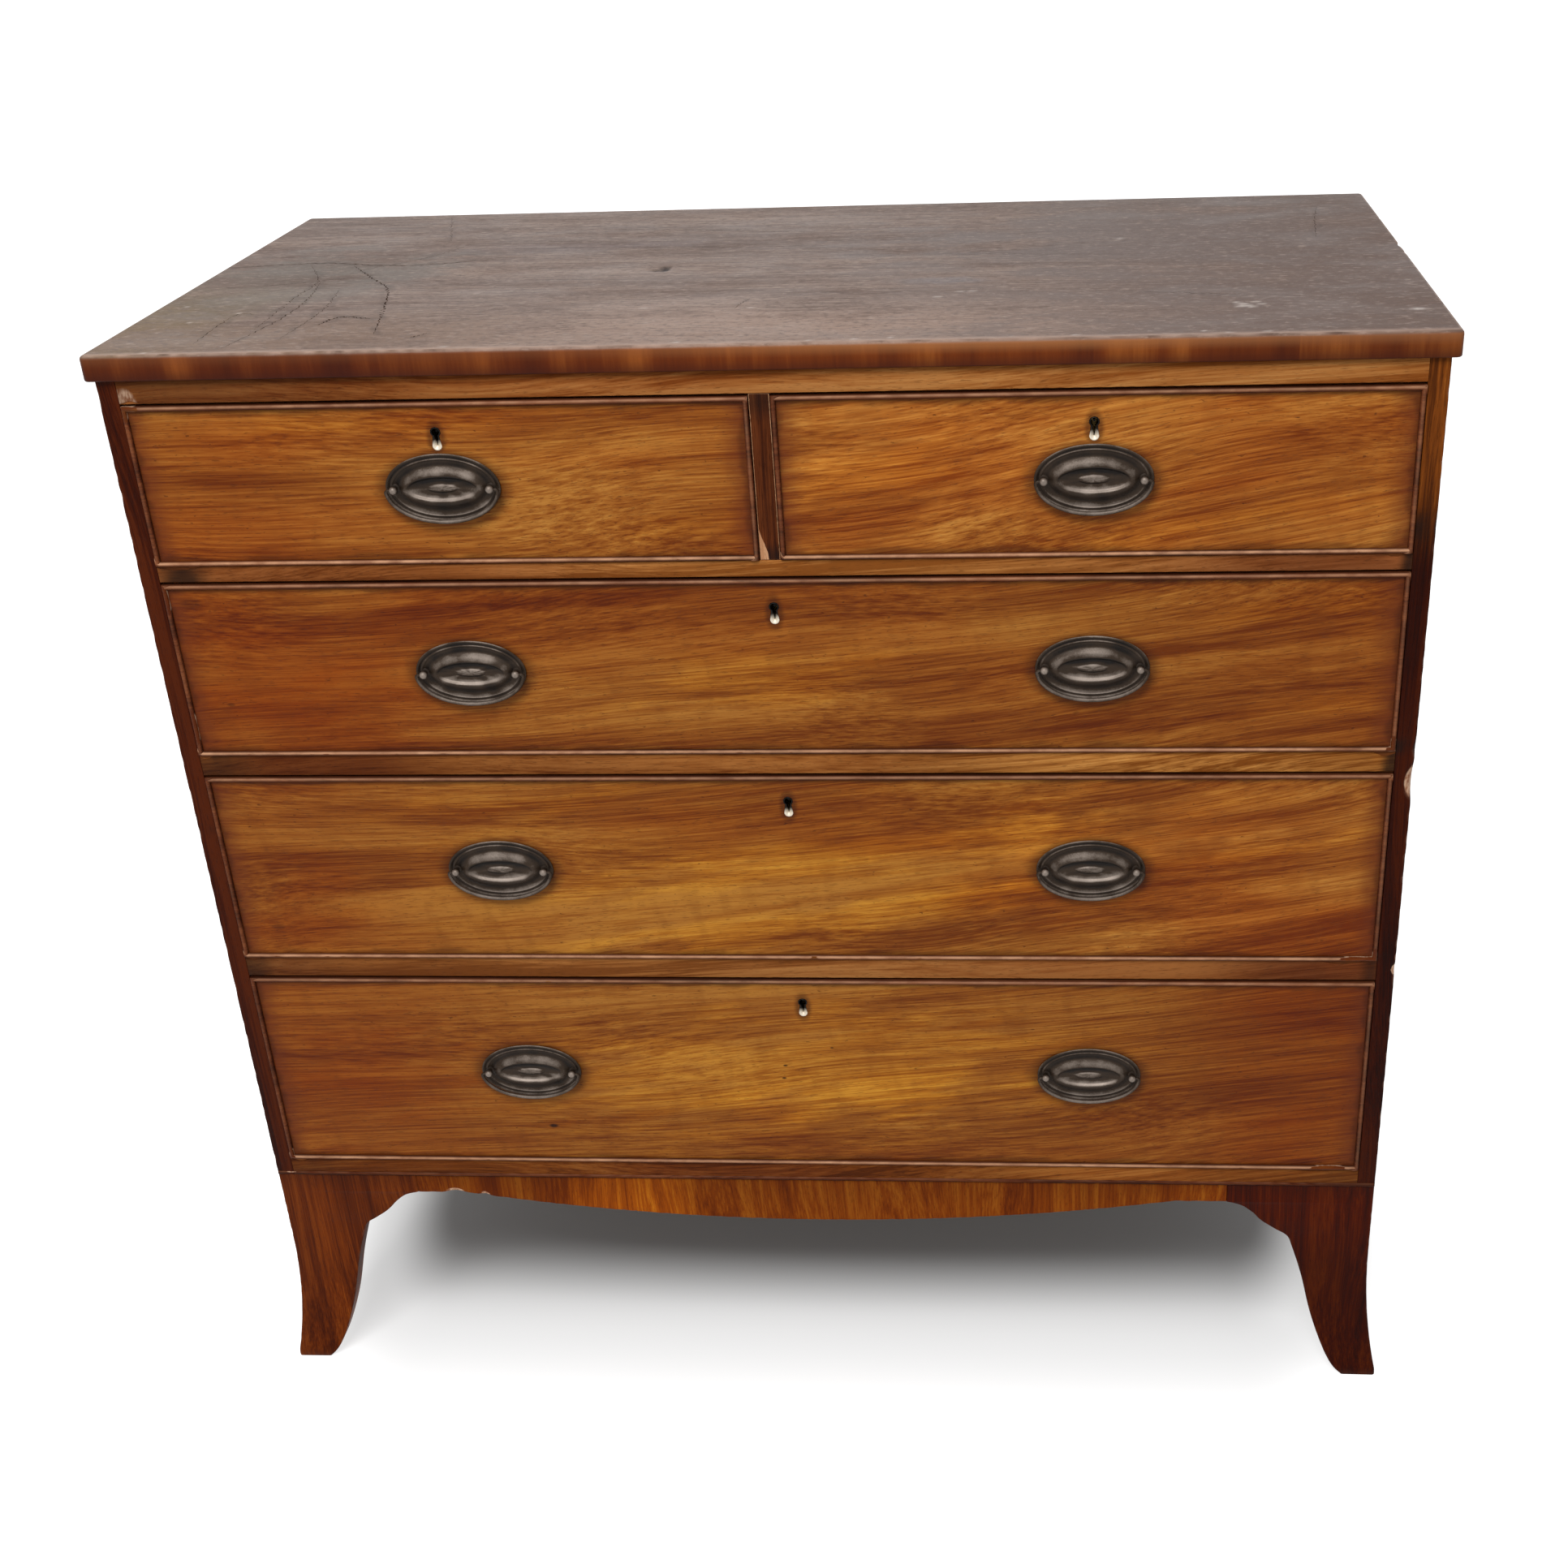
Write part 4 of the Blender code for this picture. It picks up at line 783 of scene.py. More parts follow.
def top_board():
    """The top as one closed shape.

    Its face is a grid spread between the four sides of a rounded rectangle. From the grid's border
    loops run out over the eased upper edge, down and back under, each moved out along the border's
    own direction, and the last loop is capped. A chip pulls the loops in at the right-hand end.
    """
    low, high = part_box("top_board")
    across, deep, radius = 380, 210, TOP_CORNER - TOP_EASE
    half = np.array(((high.x - low.x) / 2, (high.y - low.y) / 2)) - TOP_EASE
    middle = np.array(((high.x + low.x) / 2, (high.y + low.y) / 2))

    def side(start, end, count, spread):
        """Points and outward directions along one side, each of its ends half way round a corner.

        The spread says which share of the points lies up to each place from -1 to 1, so that more
        of them lie where the cracks are.
        """
        run = np.interp(np.linspace(0, 1, count), *spread)
        length = np.linalg.norm(end - start)
        straight = (end - start) / length
        out = np.array((straight[1], -straight[0]))
        angle = np.clip((np.abs(run) - 0.985) / 0.015, 0, 1) * np.sign(run) * math.pi / 4
        along = np.clip(run / 0.985, -1, 1)[:, None] * (length / 2 - radius)
        centre = (start + end) / 2 + straight * along
        way = out * np.cos(angle)[:, None] + straight * np.sin(angle)[:, None]
        return centre - out * radius + way * radius, way

    corners = middle + half * np.array(((-1, -1), (1, -1), (1, 1), (-1, 1)))
    fine_left, fine_front = ((0, 0.40, 1), (-1, -0.48, 1)), ((0, 0.75, 1), (-1, 0.25, 1))
    fine_right, fine_back = ((0, 0.60, 1), (-1, 0.48, 1)), ((0, 0.25, 1), (-1, -0.25, 1))
    spreads = (fine_left, fine_front, fine_right, fine_back)
    sides = [
        side(corners[i], corners[(i + 1) % 4], (across, deep)[i % 2], spreads[i]) for i in range(4)
    ]
    (front, _), (right, _), (back, _), (left, _) = sides
    u = (np.interp(np.linspace(0, 1, across), *fine_left)[None, :, None] + 1) / 2
    v = (np.interp(np.linspace(0, 1, deep), *fine_front)[:, None, None] + 1) / 2
    back, left = back[::-1], left[::-1]
    grid = (1 - v) * front[None] + v * back[None] + (1 - u) * left[:, None] + u * right[:, None]
    grid -= (
        (1 - u) * (1 - v) * front[0] + u * (1 - v) * front[-1] + (1 - u) * v * back[0] + u * v * back[-1]
    )
    index = np.arange(across * deep).reshape(deep, across)
    border = np.concatenate([index[0, :-1], index[:-1, -1], index[-1, :0:-1], index[:0:-1, 0]])
    out = np.concatenate([way[:-1] for _, way in sides])
    rim = grid.reshape(-1, 2)[border]

    crack, scuff_and_highlight, hole = top_surface_marks(grid[..., 0], grid[..., 1])
    face_z = top_level(grid[..., 0], grid[..., 1]) - 1.6 * MM * hole

    lip = 1.7 * MM
    drop = high.z - low.z - TOP_EASE - lip
    steps = np.linspace(0, math.pi / 2, 6)[1:]
    profile = [(TOP_EASE * math.sin(a), high.z - TOP_EASE * (1 - math.cos(a))) for a in steps]
    profile += [(TOP_EASE, high.z - TOP_EASE - share * drop) for share in (0.25, 0.5, 0.75, 1)]
    profile += [(TOP_EASE - lip * (1 - math.cos(a)), low.z + lip * (1 - math.sin(a))) for a in steps]
    profile += [(TOP_EASE - 6 * MM, low.z), (-20 * MM, low.z)]
    profile = np.array(profile)
    share = np.arange(len(rim)) / len(rim)
    dents = 0.35 * MM * np.clip(ripple(share, 6, 60, 240) - 0.9, 0, 1)
    chip = 3.2 * MM * bump_at(rim[:, 1], FRONT + 299 * MM, 13 * MM)
    chip += 1.5 * MM * bump_at(rim[:, 1], FRONT + 268 * MM, 6 * MM)
    chip *= rim[:, 0] > 0.4
    loops = rim[None] + out[None] * profile[:, 0, None, None]
    upper = np.clip((profile[:, 1] - low.z - 6 * MM) / (8 * MM), 0, 1)[:, None, None]
    loops = loops - out[None] * ((chip + dents)[None, :, None] * (0.35 + 0.65 * upper))
    heights = np.broadcast_to(profile[:, 1, None], loops.shape[:2])
    loops = np.concatenate([loops, heights[..., None]], -1)

    points = np.concatenate([np.dstack([grid, face_z]).reshape(-1, 3), loops.reshape(-1, 3)])
    loop_index = across * deep + np.arange(loops.shape[0] * len(rim)).reshape(-1, len(rim))
    faces = faces_between(index, wrap=False)
    faces += faces_between(np.concatenate([border[None], loop_index])) + [loop_index[-1].tolist()]

    def both(on_face, on_loops):
        """A mark over the face and over the loops."""
        spread = np.broadcast_to(on_face, index.shape), np.broadcast_to(on_loops, loops.shape[:2])
        return np.concatenate([values.ravel() for values in spread])

    levels = profile[:, 1, None]
    arris = peak(np.arange(len(profile)), 0, 1.8)[:, None]
    # The wear mark: on the arris and a strip of the face along the front, partly rubbing and partly painted
    # highlight.
    front_line = np.clip(1 - (grid[..., 1] - low.y - TOP_EASE) / (7 * MM), 0, 1) * 0.6
    marks = {
        "crack": both(crack, 0),
        "scuff_and_highlight": both(scuff_and_highlight, 0),
        "edge": both(0, np.clip((high.z - 1 * MM - levels) / (1.6 * MM), 0, 1)),
        "wear": both(front_line, 0.75 * arris * np.clip((ripple(share, 4, 20, 160) + 1.1) / 2, 0, 1)),
        "bare": both(0, np.clip(chip / (1.5 * MM), 0, 1) * (levels > low.z + 5 * MM)),
    }
    build("faded_top", [(points, faces)], faded_top(), "carcass", ("top_board",),
          crease=50, marks=marks)


# Damage on the front arris of each side: (height, reach, depth) in millimetres, bare and dirty shares
SIDE_DAMAGE = {
    -1: ((905, 10, 1.2, 0.5, 0.0), (600, 8, 0.8, 0.3, 0.3)),
    1: (
        (644, 24, 8.0, 1.0, 0.0), (866, 18, 1.0, 0.0, 0.9), (676, 12, 2.0, 0.2, 0.9),
        (459, 9, 4.0, 1.0, 0.0), (472, 8, 1.2, 0.6, 0.2), (560, 30, 1.5, 0.2, 0.1),
    ),
}
# Oval areas of another tint on the front edges of the sides: (centre, reach, strength, tint)
STILE_AREAS = {
    -1: (((0, FRONT, 0.5), (FAR, 0.03, FAR), 1.0, (0.50, 0.31, 0.21)),),
    1: (
        ((0, FRONT, 0.5), (FAR, 0.03, FAR), 1.0, (0.33, 0.17, 0.08)),
        # Painted light at the top of the right edge, lifting the shade under the top's overhang.
        ((0, FRONT, 0.97), (FAR, 0.03, 0.13), 1.0, (7.5, 17.0, 18.0)),
    ),
}


def side_board(side, across):
    """A carcass end: its plan outline carried up in Z, shorter between the feet.

    The outer front corner is eased more where the arris is worn, and bitten where it is broken.
    """
    tones = (52, 20, 6), (84, 38, 15), (112, 60, 30)
    finish = worn_wood(f"{side}_panel_wood", tones, 77 + across, "z", areas=STILE_AREAS[across],
                       contrast=0.08)
    inner, outer = across * INSIDE_HALF, across * CASE_HALF
    heights = np.unique(np.concatenate([
        np.linspace(APRON_END, FOOT_HEIGHT, 5), FOOT_HEIGHT + np.array((0, 0.05 * MM)),
        np.linspace(FOOT_HEIGHT, CASE_TOP, 220),
    ]))
    low_part = heights <= FOOT_HEIGHT
    front = np.where(low_part, FRONT + FOOT_ARM + 0.3 * MM, FRONT - 0.4 * MM)
    back = np.where(low_part, FRONT + CASE_DEPTH - FOOT_ARM - 0.3 * MM, FRONT + CASE_DEPTH)
    rebate = back - np.where(low_part, 1 * MM, 9 * MM)
    lap = across * (INSIDE_HALF + 6 * MM)
    share = (heights - APRON_END) / (CASE_TOP - APRON_END)
    wear = np.clip(0.5 + ripple(share, 21 if across > 0 else 22, 6, 60), 0.1, 1.4)
    centres, widths, *strengths = np.array(SIDE_DAMAGE[across]).T[..., None]
    near = bump_at(heights, centres * MM, widths * MM)
    bite, bare, dirt = ((strength * near).max(0) for strength in strengths)
    corners = corners_of(
        (outer, front), (outer, back), (lap, back), (lap, rebate), (inner, rebate), (inner, front)
    )
    radii = np.full(corners.shape[:-1], 0.3 * MM)
    radii[:, 0] = np.where(low_part, 1.0 * MM, (0.7 + 0.9 * wear + bite) * MM)
    radii[:, 1] = 1.2 * MM
    plan = rounded(corners, radii, 5)
    loops = np.concatenate([plan, np.broadcast_to(heights[:, None, None], (*plan.shape[:2], 1))], -1)
    on_corner = np.zeros(loops.shape[:2])
    on_corner[:, :6] = ON_ARRIS
    on_front = on_corner.copy()
    on_front[:, 33:] = 1
    marks = {
        "wear": on_corner * np.clip(wear - 0.75, 0, 0.4)[:, None],
        "bare": on_corner * bare[:, None],
        "dirt": on_front * dirt[:, None],
    }
    build(f"{side}_panel", [skin(loops)], finish, "carcass", (f"{side}_side",),
          marks=marks)


def facing(name, run, low, high, finish, seed, bites, soiled, bared=(), upright=False):
    """A thin veneer facing on a rail or the muntin, its edges wavering and broken in places.

    The section is a thin rounded rectangle carried along the member, with its two long edges
    moved by noise and by the bites: (place, reach, depth, edge), where edge is -1 low and 1 high.
    """
    places = np.linspace(run[0], run[1], max(60, int((run[1] - run[0]) / (2 * MM))))
    share = (places - run[0]) / (run[1] - run[0])
    lower = low + 0.15 * MM * (1 + ripple(share, seed, 10, 120))
    upper = high - 0.15 * MM * (1 + ripple(share, seed + 1, 10, 120))
    for centre, reach, depth, edge in bites:
        near = depth * MM * bump_at(places, centre * MM, reach * MM)
        lower, upper = (lower + near, upper) if edge < 0 else (lower, upper - near)
    face, ground = FRONT - 0.5 * MM, FRONT + 0.5 * MM
    corners = corners_of((face, lower), (ground, lower), (ground, upper), (face, upper))
    radii = np.full(corners.shape[:-1], 0.15 * MM)
    radii[:, (0, 3)] = 0.4 * MM
    section = rounded(corners, radii, 3)
    along = np.broadcast_to(places[:, None], section.shape[:2])
    out, over = section[..., 0], section[..., 1]
    loops = np.stack((over, out, along) if upright else (along, out, over), -1)
    dirt, bare = greatest(places, soiled)[:, None], greatest(places, bared)[:, None]
    level = (over - low) / (high - low)
    marks = {
        "bare": np.clip(bare * (1 - level), 0, 1),
        "dirt": np.clip(dirt + 0.25 * np.abs(level * 2 - 1) ** 6, 0, 0.9),
    }
    build(name, [skin(loops)], finish, "carcass", marks=marks)


# The rails' facings: the node whose top they reach, tones, bites, soiled places, areas of another
# tint as (x, reach, tint), and places broken bare, in millimetres
FACINGS = {
    "base_rail": (
        "carcass_bottom", ((92, 42, 8), (136, 72, 24), (162, 98, 42)),
        ((-498, 12, 3, 1), (470, 40, 2.2, 1)), ((-500, 60, 0.3), (490, 60, 0.3)),
        ((280, 110, (1.4, 1.5, 1.6)), (-80, 160, (0.75, 0.65, 0.75))), (),
    ),
    "lower_rail": (
        "lower_dustboard", ((132, 74, 29), (172, 108, 53), (192, 130, 70)),
        ((-500, 10, 3, 1), (478, 22, 3.5, 1)), ((-503, 25, 0.6), (503, 12, 0.5)),
        ((480, 540, (0.80, 0.68, 0.64)), (490, 150, (0.5, 0.4, 0.45)), (-500, 90, (0.65, 0.6, 0.65))), (),
    ),
    "middle_rail": (
        "middle_dustboard", ((96, 44, 9), (138, 78, 32), (162, 100, 48)),
        ((-503, 9, 3, 1), (500, 14, 4, 1)), ((-503, 60, 0.5), (505, 12, 0.9)),
        ((340, 260, (2.2, 2.9, 3.2)), (-400, 110, (0.62, 0.5, 0.5)), (-20, 160, (1.25, 1.3, 1.3))), (),
    ),
    "upper_rail": (
        "upper_dustboard", ((118, 60, 20), (156, 92, 44), (180, 114, 62)),
        ((-490, 26, 3, 1), (495, 12, 2.5, 1)), ((-488, 30, 0.9), (505, 10, 0.8)),
        ((60, 300, (1.5, 1.8, 1.8)), (490, 190, (0.6, 0.5, 0.5))), (),
    ),
    "front_top_rail": (
        "left_side", ((126, 62, 18), (160, 94, 43), (182, 118, 62)),
        ((-499, 9, 2, -1),), ((-560, 420, 0.35),), ((340, 400, (1.3, 1.5, 1.6)),), ((-503, 15, 1.2),),
    ),
}


def facings():
    """The mahogany facings of the five rails and of the muntin between the short drawers."""
    edge = INSIDE_HALF - 0.4 * MM
    for i, (name, (top_node, tones, bites, soiled, patches, bared)) in enumerate(FACINGS.items()):
        low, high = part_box(name)[0].z + 0.1 * MM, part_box(top_node)[1].z - 0.1 * MM
        areas = [((-0.52, 0, 0), (0.30, FAR, FAR), 0.8, (0.66, 0.56, 0.5))]
        areas += [((x * MM, 0, 0), (reach * MM, FAR, FAR), 1.0, tint) for x, reach, tint in patches]
        finish = worn_wood(f"{name}_facing_wood", tones, 41 + i, areas=areas,
                           climb=(1.0, 9.0 - 1.5 * i, -edge, edge), contrast=0.08)
        facing(f"{name}_facing", (-edge, edge), low, high, finish, 50 + 3 * i, bites, soiled, bared)
    low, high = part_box("centre_partition")
    run = (low.z + 0.3 * MM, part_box("front_top_rail")[0].z - 0.4 * MM)
    finish = worn_wood("muntin_facing_wood", ((58, 22, 5), (98, 47, 19), (130, 73, 38)), 47, "z",
                       contrast=0.08)
    facing("muntin_facing", run, low.x + 0.3 * MM, high.x - 0.3 * MM, finish, 66,
           ((845, 28, 6.5, -1),), ((975, 20, 0.5), (848, 14, 0.7)), upright=True)


def base_bead(finish):
    """The small bead along the foot of the base rail: a nose of varying wear carried along X."""
    xs = np.linspace(-CASE_HALF + 1 * MM, CASE_HALF - 1 * MM, 520)
    share = (xs - xs[0]) / (xs[-1] - xs[0])
    angle = np.linspace(math.pi / 2, -math.pi / 2, 9)
    size = 1.0 + 0.10 * ripple(share, 71, 10, 110) - 0.35 * bump_at(xs, -0.508, 0.02)
    nose_y = FRONT - 1.9 * MM * np.cos(angle)[None] * size[:, None]
    nose_z = FOOT_HEIGHT + 2.4 * MM + 1.9 * MM * np.sin(angle)[None] * size[:, None]
    back_y = np.broadcast_to(FRONT + 0.6 * MM, (len(xs), 1))
    ys = np.concatenate([nose_y, back_y, back_y], 1)
    zs = np.concatenate([nose_z, nose_z[:, -1:], nose_z[:, :1]], 1)
    loops = np.stack([np.broadcast_to(xs[:, None], ys.shape), ys, zs], -1)
    # Its wear mark is a faint painted highlight on the upper side of the nose as well as rubbing, and its
    # underside is darker.
    top = np.concatenate([peak(angle, 0.9, 0.6), (0, 0)])
    under = np.concatenate([np.clip(-np.sin(angle), 0, 1), (0, 0)])
    marks = {
        "wear": np.clip(0.55 + 0.5 * ripple(share, 73, 6, 70), 0, 1)[:, None] * top * 0.12,
        "bare": bump_at(xs, -0.510, 0.008)[:, None] * top,
        "dirt": np.broadcast_to(0.2 + 0.6 * under, ys.shape),
    }
    build("base_bead", [skin(loops)], finish, "carcass", marks=marks)


def front_apron(finish):
    """The shaped apron: a section carried along X, whose lower edge follows a long shallow arc."""
    low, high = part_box("front_apron")
    rise = APRON_END - low.z
    radius = (APRON_ARC_HALF**2 + rise**2) / (2 * rise)
    xs = np.linspace(low.x, high.x, 460)
    arc = low.z + radius - np.sqrt(radius**2 - np.minimum(np.abs(xs), APRON_ARC_HALF) ** 2)
    share = (xs - xs[0]) / (xs[-1] - xs[0])
    nicks = 0.9 * MM * np.clip(ripple(share, 81, 60, 220) - 0.8, 0, 1)
    chip = bump_at(xs, -352 * MM, 13 * MM) + 0.7 * bump_at(xs, -322 * MM, 7 * MM)
    lower = arc + nicks + 1.6 * MM * chip
    corners = corners_of(
        (low.y, high.z), (low.y, lower + 5 * MM), (low.y, lower), (high.y, arc), (high.y, high.z)
    )
    radii = np.full(corners.shape[:-1], 0.3 * MM)
    radii[:, 2] = (0.8 + 0.3 * ripple(share, 83, 10, 90)) * MM + 1.8 * MM * chip
    section = rounded(corners, radii, 5)
    along = np.broadcast_to(xs[:, None, None], (*section.shape[:2], 1))
    loops = np.concatenate([along, section], -1)
    arris, broken = np.zeros((2, loops.shape[1]))
    arris[12:18] = ON_ARRIS
    broken[12:18] = 1
    marks = {
        "wear": 0.4 * arris * np.clip(ripple(share, 85, 8, 90), 0, 1)[:, None],
        "bare": broken * np.clip(1.3 * chip, 0, 1)[:, None],
        "dirt": 0.30 * np.clip((section[..., 1] - high.z + 3 * MM) / (3 * MM), 0, 1),
    }
    build("shaped_apron", [skin(loops)], finish, "carcass", ("front_apron",),
          marks=marks)


def splayed_foot(name, across, back, finish, seed):
    """A foot: an L-shaped plan carried up in Z, whose arms follow the bracket's edge.

    The foot's outward sweep is the splay times (1 - height / flare height) to a power, and the toe
    and the arrises are worn by noise.
    """
    edge = through(FOOT_EDGE_SHARES, 9) * (APRON_END, FOOT_ARM)
    shoulder = ((APRON_END + 0.05 * MM, FOOT_ARM), (FOOT_HEIGHT - 0.3 * MM, FOOT_ARM))
    height, width = np.concatenate([edge, shoulder]).T
    flare = FOOT_SPLAY * np.clip(1 - height / FLARE_HEIGHT, 0, 1) ** FLARE_POWER
    out_y = np.zeros_like(flare) if back else flare
    front_width = np.minimum(width, BACK_ARM) if back else width
    thick = FOOT_ARM_THICKNESS
    corners = corners_of(
        (-flare, -out_y), (front_width - flare, -out_y), (front_width - flare, thick - out_y),
        (thick - flare, thick - out_y), (thick - flare, width - out_y), (-flare, width - out_y),
    )
    wear = np.clip(ripple(height / FOOT_HEIGHT, seed, 2, 24), -0.4, 1.2)
    toe = np.clip(1 - height / (9 * MM), 0, 1) ** 2
    radii = np.full(corners.shape[:-1], 1.0 * MM)
    radii[:, 0] = (1.4 + 0.5 * wear) * MM + 1.6 * MM * toe
    radii[:, 1] = (1.5 + 0.4 * wear) * MM + 1.0 * MM * toe
    radii[:, 5] = 1.5 * MM
    radii[:, 3] = 3.0 * MM
    plan = rounded(corners, radii, 5)
    inward = np.array((thick / 2, thick / 2)) - plan
    inward /= np.linalg.norm(inward, axis=-1, keepdims=True)
    plan = plan + inward * (1.3 * MM * toe)[:, None, None]
    x = across * (CASE_HALF - plan[..., 0])
    y = FRONT + (CASE_DEPTH - plan[..., 1] if back else plan[..., 1])
    loops = np.stack([x, y, np.broadcast_to(height[:, None], x.shape)], -1)
    arris = np.zeros(loops.shape[1])
    arris[:6] = arris[6:12] = ON_ARRIS
    under_case = np.clip((height - FOOT_HEIGHT + 4 * MM) / (4 * MM), 0, 1)[:, None]
    marks = {
        "wear": np.clip(0.30 * arris * np.clip(wear, 0, 1)[:, None] + 0.12 * toe[:, None], 0, 1),
        "dirt": np.broadcast_to(0.3 * under_case, x.shape),
    }
    build(f"splayed_{name}", [skin(loops)], finish, "carcass", (name,), crease=45,
          marks=marks)


def domes(name, places, radius, height, finish, body):
    """Rows of low domed heads: each is a quarter-ellipse profile turned about Y at its place."""
    angle = np.linspace(0, math.pi / 2, 5)[:-1]
    profile = [(-0.5 * MM, radius)]
    profile += [(height * math.sin(a), radius * math.cos(a)) for a in angle]
    profile.append((height, radius * 0.05))
    parts = [turned(profile, 12, place) for place in places]
    build(name, parts, finish, body)


# Drawers


# Broken lengths of bead: (x, z, reach) in millimetres
BEAD_CHIPS = {
    "top_left": ((-505, 978, 9),),
    "upper": ((-507, 816, 9), (-507, 700, 12), (507, 677, 7)),
    "middle": ((505, 468, 10), (490, 470, 11)),
    "lower": ((480, 240, 12), (-507, 246, 6)),
}


def cock_beads(key, finish):
    """The bead round a drawer: a rounded nose carried round the front with mitred corners.

    A loop runs round the rectangle for each point of the nose's section. Wear flattens the nose by
    noise along the run, and a broken length sinks back to bare wood.
    """
    low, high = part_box(f"{key}_drawer_front")
    width, height = high.x - low.x, high.z - low.z
    skip = 0.10 * MM
    counts = [max(8, int(length / (3 * MM))) for length in (width, height, width, height)]
    corners = np.array(((low.x, low.z), (high.x, low.z), (high.x, high.z), (low.x, high.z)))
    path, inward = [], []
    for i, count in enumerate(counts):
        start, end = corners[i], corners[(i + 1) % 4]
        run = (end - start) / np.linalg.norm(end - start)
        path.append(start + (end - start) * np.linspace(0, 1, count, endpoint=False)[:, None])
        straight = np.array((-run[1], run[0]))
        before = corners[i - 1] - start
        mitre = straight + before / np.linalg.norm(before)
        inward.append(np.concatenate([mitre[None], np.repeat(straight[None], count - 1, 0)]))
    path, inward = np.concatenate(path), np.concatenate(inward)
    share = np.arange(len(path)) / len(path)
    seed = sum(map(ord, key))
    worn = 0.12 * MM * ripple(share, seed, 20, 200)
    worn += 0.25 * MM * np.clip(ripple(share, seed + 1, 40, 200) - 0.9, 0, 1)
    broken = np.zeros(len(path))
    for x, z, reach in BEAD_CHIPS.get(key, ()):
        away = np.hypot(path[:, 0] - x * MM, path[:, 1] - z * MM)
        broken = np.maximum(broken, np.clip(1.4 - away / (reach * MM), 0, 1))
    radius, angle = BEAD / 2 + skip, np.linspace(math.pi, 0, 15)
    nose_in, nose_out = BEAD / 2 + radius * np.cos(angle), BEAD_PROUD - BEAD / 2 + radius * np.sin(angle)
    section_in = np.concatenate([[-skip], nose_in, [BEAD + skip]])
    section_out = np.concatenate([[-2 * MM], nose_out, [-2 * MM]])
    on_nose = np.concatenate([[0], np.sin(angle), [0]])
    outs = section_out[:, None] - on_nose[:, None] * (worn + 2.0 * MM * broken)
    place = path[None] + inward[None] * section_in[:, None, None]
    loops = np.stack([place[..., 0], FRONT - outs, place[..., 1]], -1)
    # Painted highlight with the wear: the mark lightens the upward-facing side of the nose, most along the
    # bottom run and least along the left.
    highlight_angle = math.pi / 2 - 0.45 * inward[:, 1]
    level = np.pad(peak(angle[:, None], highlight_angle[None], 0.60), ((1, 1), (0, 0)))
    rub = np.clip(0.80 + 0.20 * ripple(share, seed + 2, 8, 70), 0.3, 1)
    highlight_by_side = np.repeat((1.0, 0.22, 0.55, 0.10), counts)
    inner = np.concatenate([[1], np.abs(np.cos(angle)) ** 4, [1]])
    marks = {
        "wear": level * rub * highlight_by_side,
        "bare": np.broadcast_to(broken, level.shape),
        "dirt": np.broadcast_to(0.55 * inner[:, None], level.shape),
    }
    build(f"{key}_cock_bead", [skin(loops, looped=True)], finish, f"{key}_drawer",
          marks=marks)


def keyhole_liner(key, finish):
    """The brass lining of a keyhole: its outline, carried from a soft lip into the front."""
    centre_x = middle_of(f"{key}_lock").x
    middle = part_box(f"{key}_drawer_front")[1].z - KEYHOLE_DROP
    eye_z, foot_z = middle + 5.3 * MM, middle - 5.8 * MM

    def outline(wall, foot_wall):
        """A round eye over a slot that widens to a round foot, grown by a wall at each end."""
        eye, foot, neck = 3.2 * MM + wall, 2.7 * MM + foot_wall, 1.7 * MM + wall
        dip = math.asin(neck / eye)
        a = np.linspace(-math.pi / 2 + dip, 1.5 * math.pi - dip, 25)
        b = np.linspace(math.pi, TURN, 15)
        upper = np.stack([eye * np.cos(a), eye_z + eye * np.sin(a)], -1)
        lower = np.stack([foot * np.cos(b), foot_z + foot * np.sin(b)], -1)
        return np.concatenate([upper, lower]) + (centre_x, 0)

    rows = []
    for wall, foot_wall, y in (
        (-0.12, -2.45, 6.0), (-0.12, -2.40, 1.6), (-0.10, -1.2, 0.5), (0.0, 0.05, -0.25),
        (0.25, 0.4, -0.4), (0.5, 0.8, -0.3), (0.7, 1.1, 0.0), (0.7, 1.1, 6.0),
    ):
        line = outline(wall * MM, foot_wall * MM)
        rows.append(np.stack([line[:, 0], np.full(len(line), FRONT + y * MM), line[:, 1]], -1))
    points, faces = skin(rows, looped=True)
    # Painted highlight on the upward-facing lower wall of the keyhole's foot, carried as the liner's wear
    # mark.
    painted_foot_highlight = np.clip((foot_z + 1.6 * MM - points[:, 2]) / (1.5 * MM), 0, 1)
    painted_foot_highlight *= np.clip((FRONT + 3 * MM - points[:, 1]) / (1 * MM), 0, 1)
    build(f"{key}_keyhole_liner", [(points, faces)], finish, f"{key}_drawer",
          marks={"wear": painted_foot_highlight})


# Handles

# The stamped face from the rim inwards: half width and half height as shares, and millimetres proud
PLATE_RINGS = np.array([
    (1.0, 1.0, 0.35), (1.003, 1.005, 1.0), (0.99, 0.983, 1.6), (0.97, 0.952, 1.75), (0.95, 0.92, 1.35),
    (0.935, 0.895, 1.0), (0.915, 0.87, 1.05), (0.90, 0.85, 1.4), (0.882, 0.828, 1.42), (0.865, 0.805, 1.1),
    (0.83, 0.75, 0.95), (0.79, 0.69, 0.95), (0.765, 0.645, 1.3), (0.74, 0.60, 2.2), (0.715, 0.55, 3.2),
    (0.69, 0.50, 4.1), (0.665, 0.45, 4.7), (0.64, 0.405, 5.0), (0.62, 0.37, 4.9), (0.605, 0.342, 4.4),
    (0.585, 0.318, 3.6), (0.56, 0.295, 3.0), (0.50, 0.25, 2.5), (0.42, 0.205, 2.2), (0.34, 0.16, 2.1),
    (0.28, 0.13, 2.15), (0.25, 0.112, 2.6), (0.22, 0.095, 3.1), (0.17, 0.07, 3.4), (0.10, 0.04, 3.55),
    (0.02, 0.008, 3.6),
])
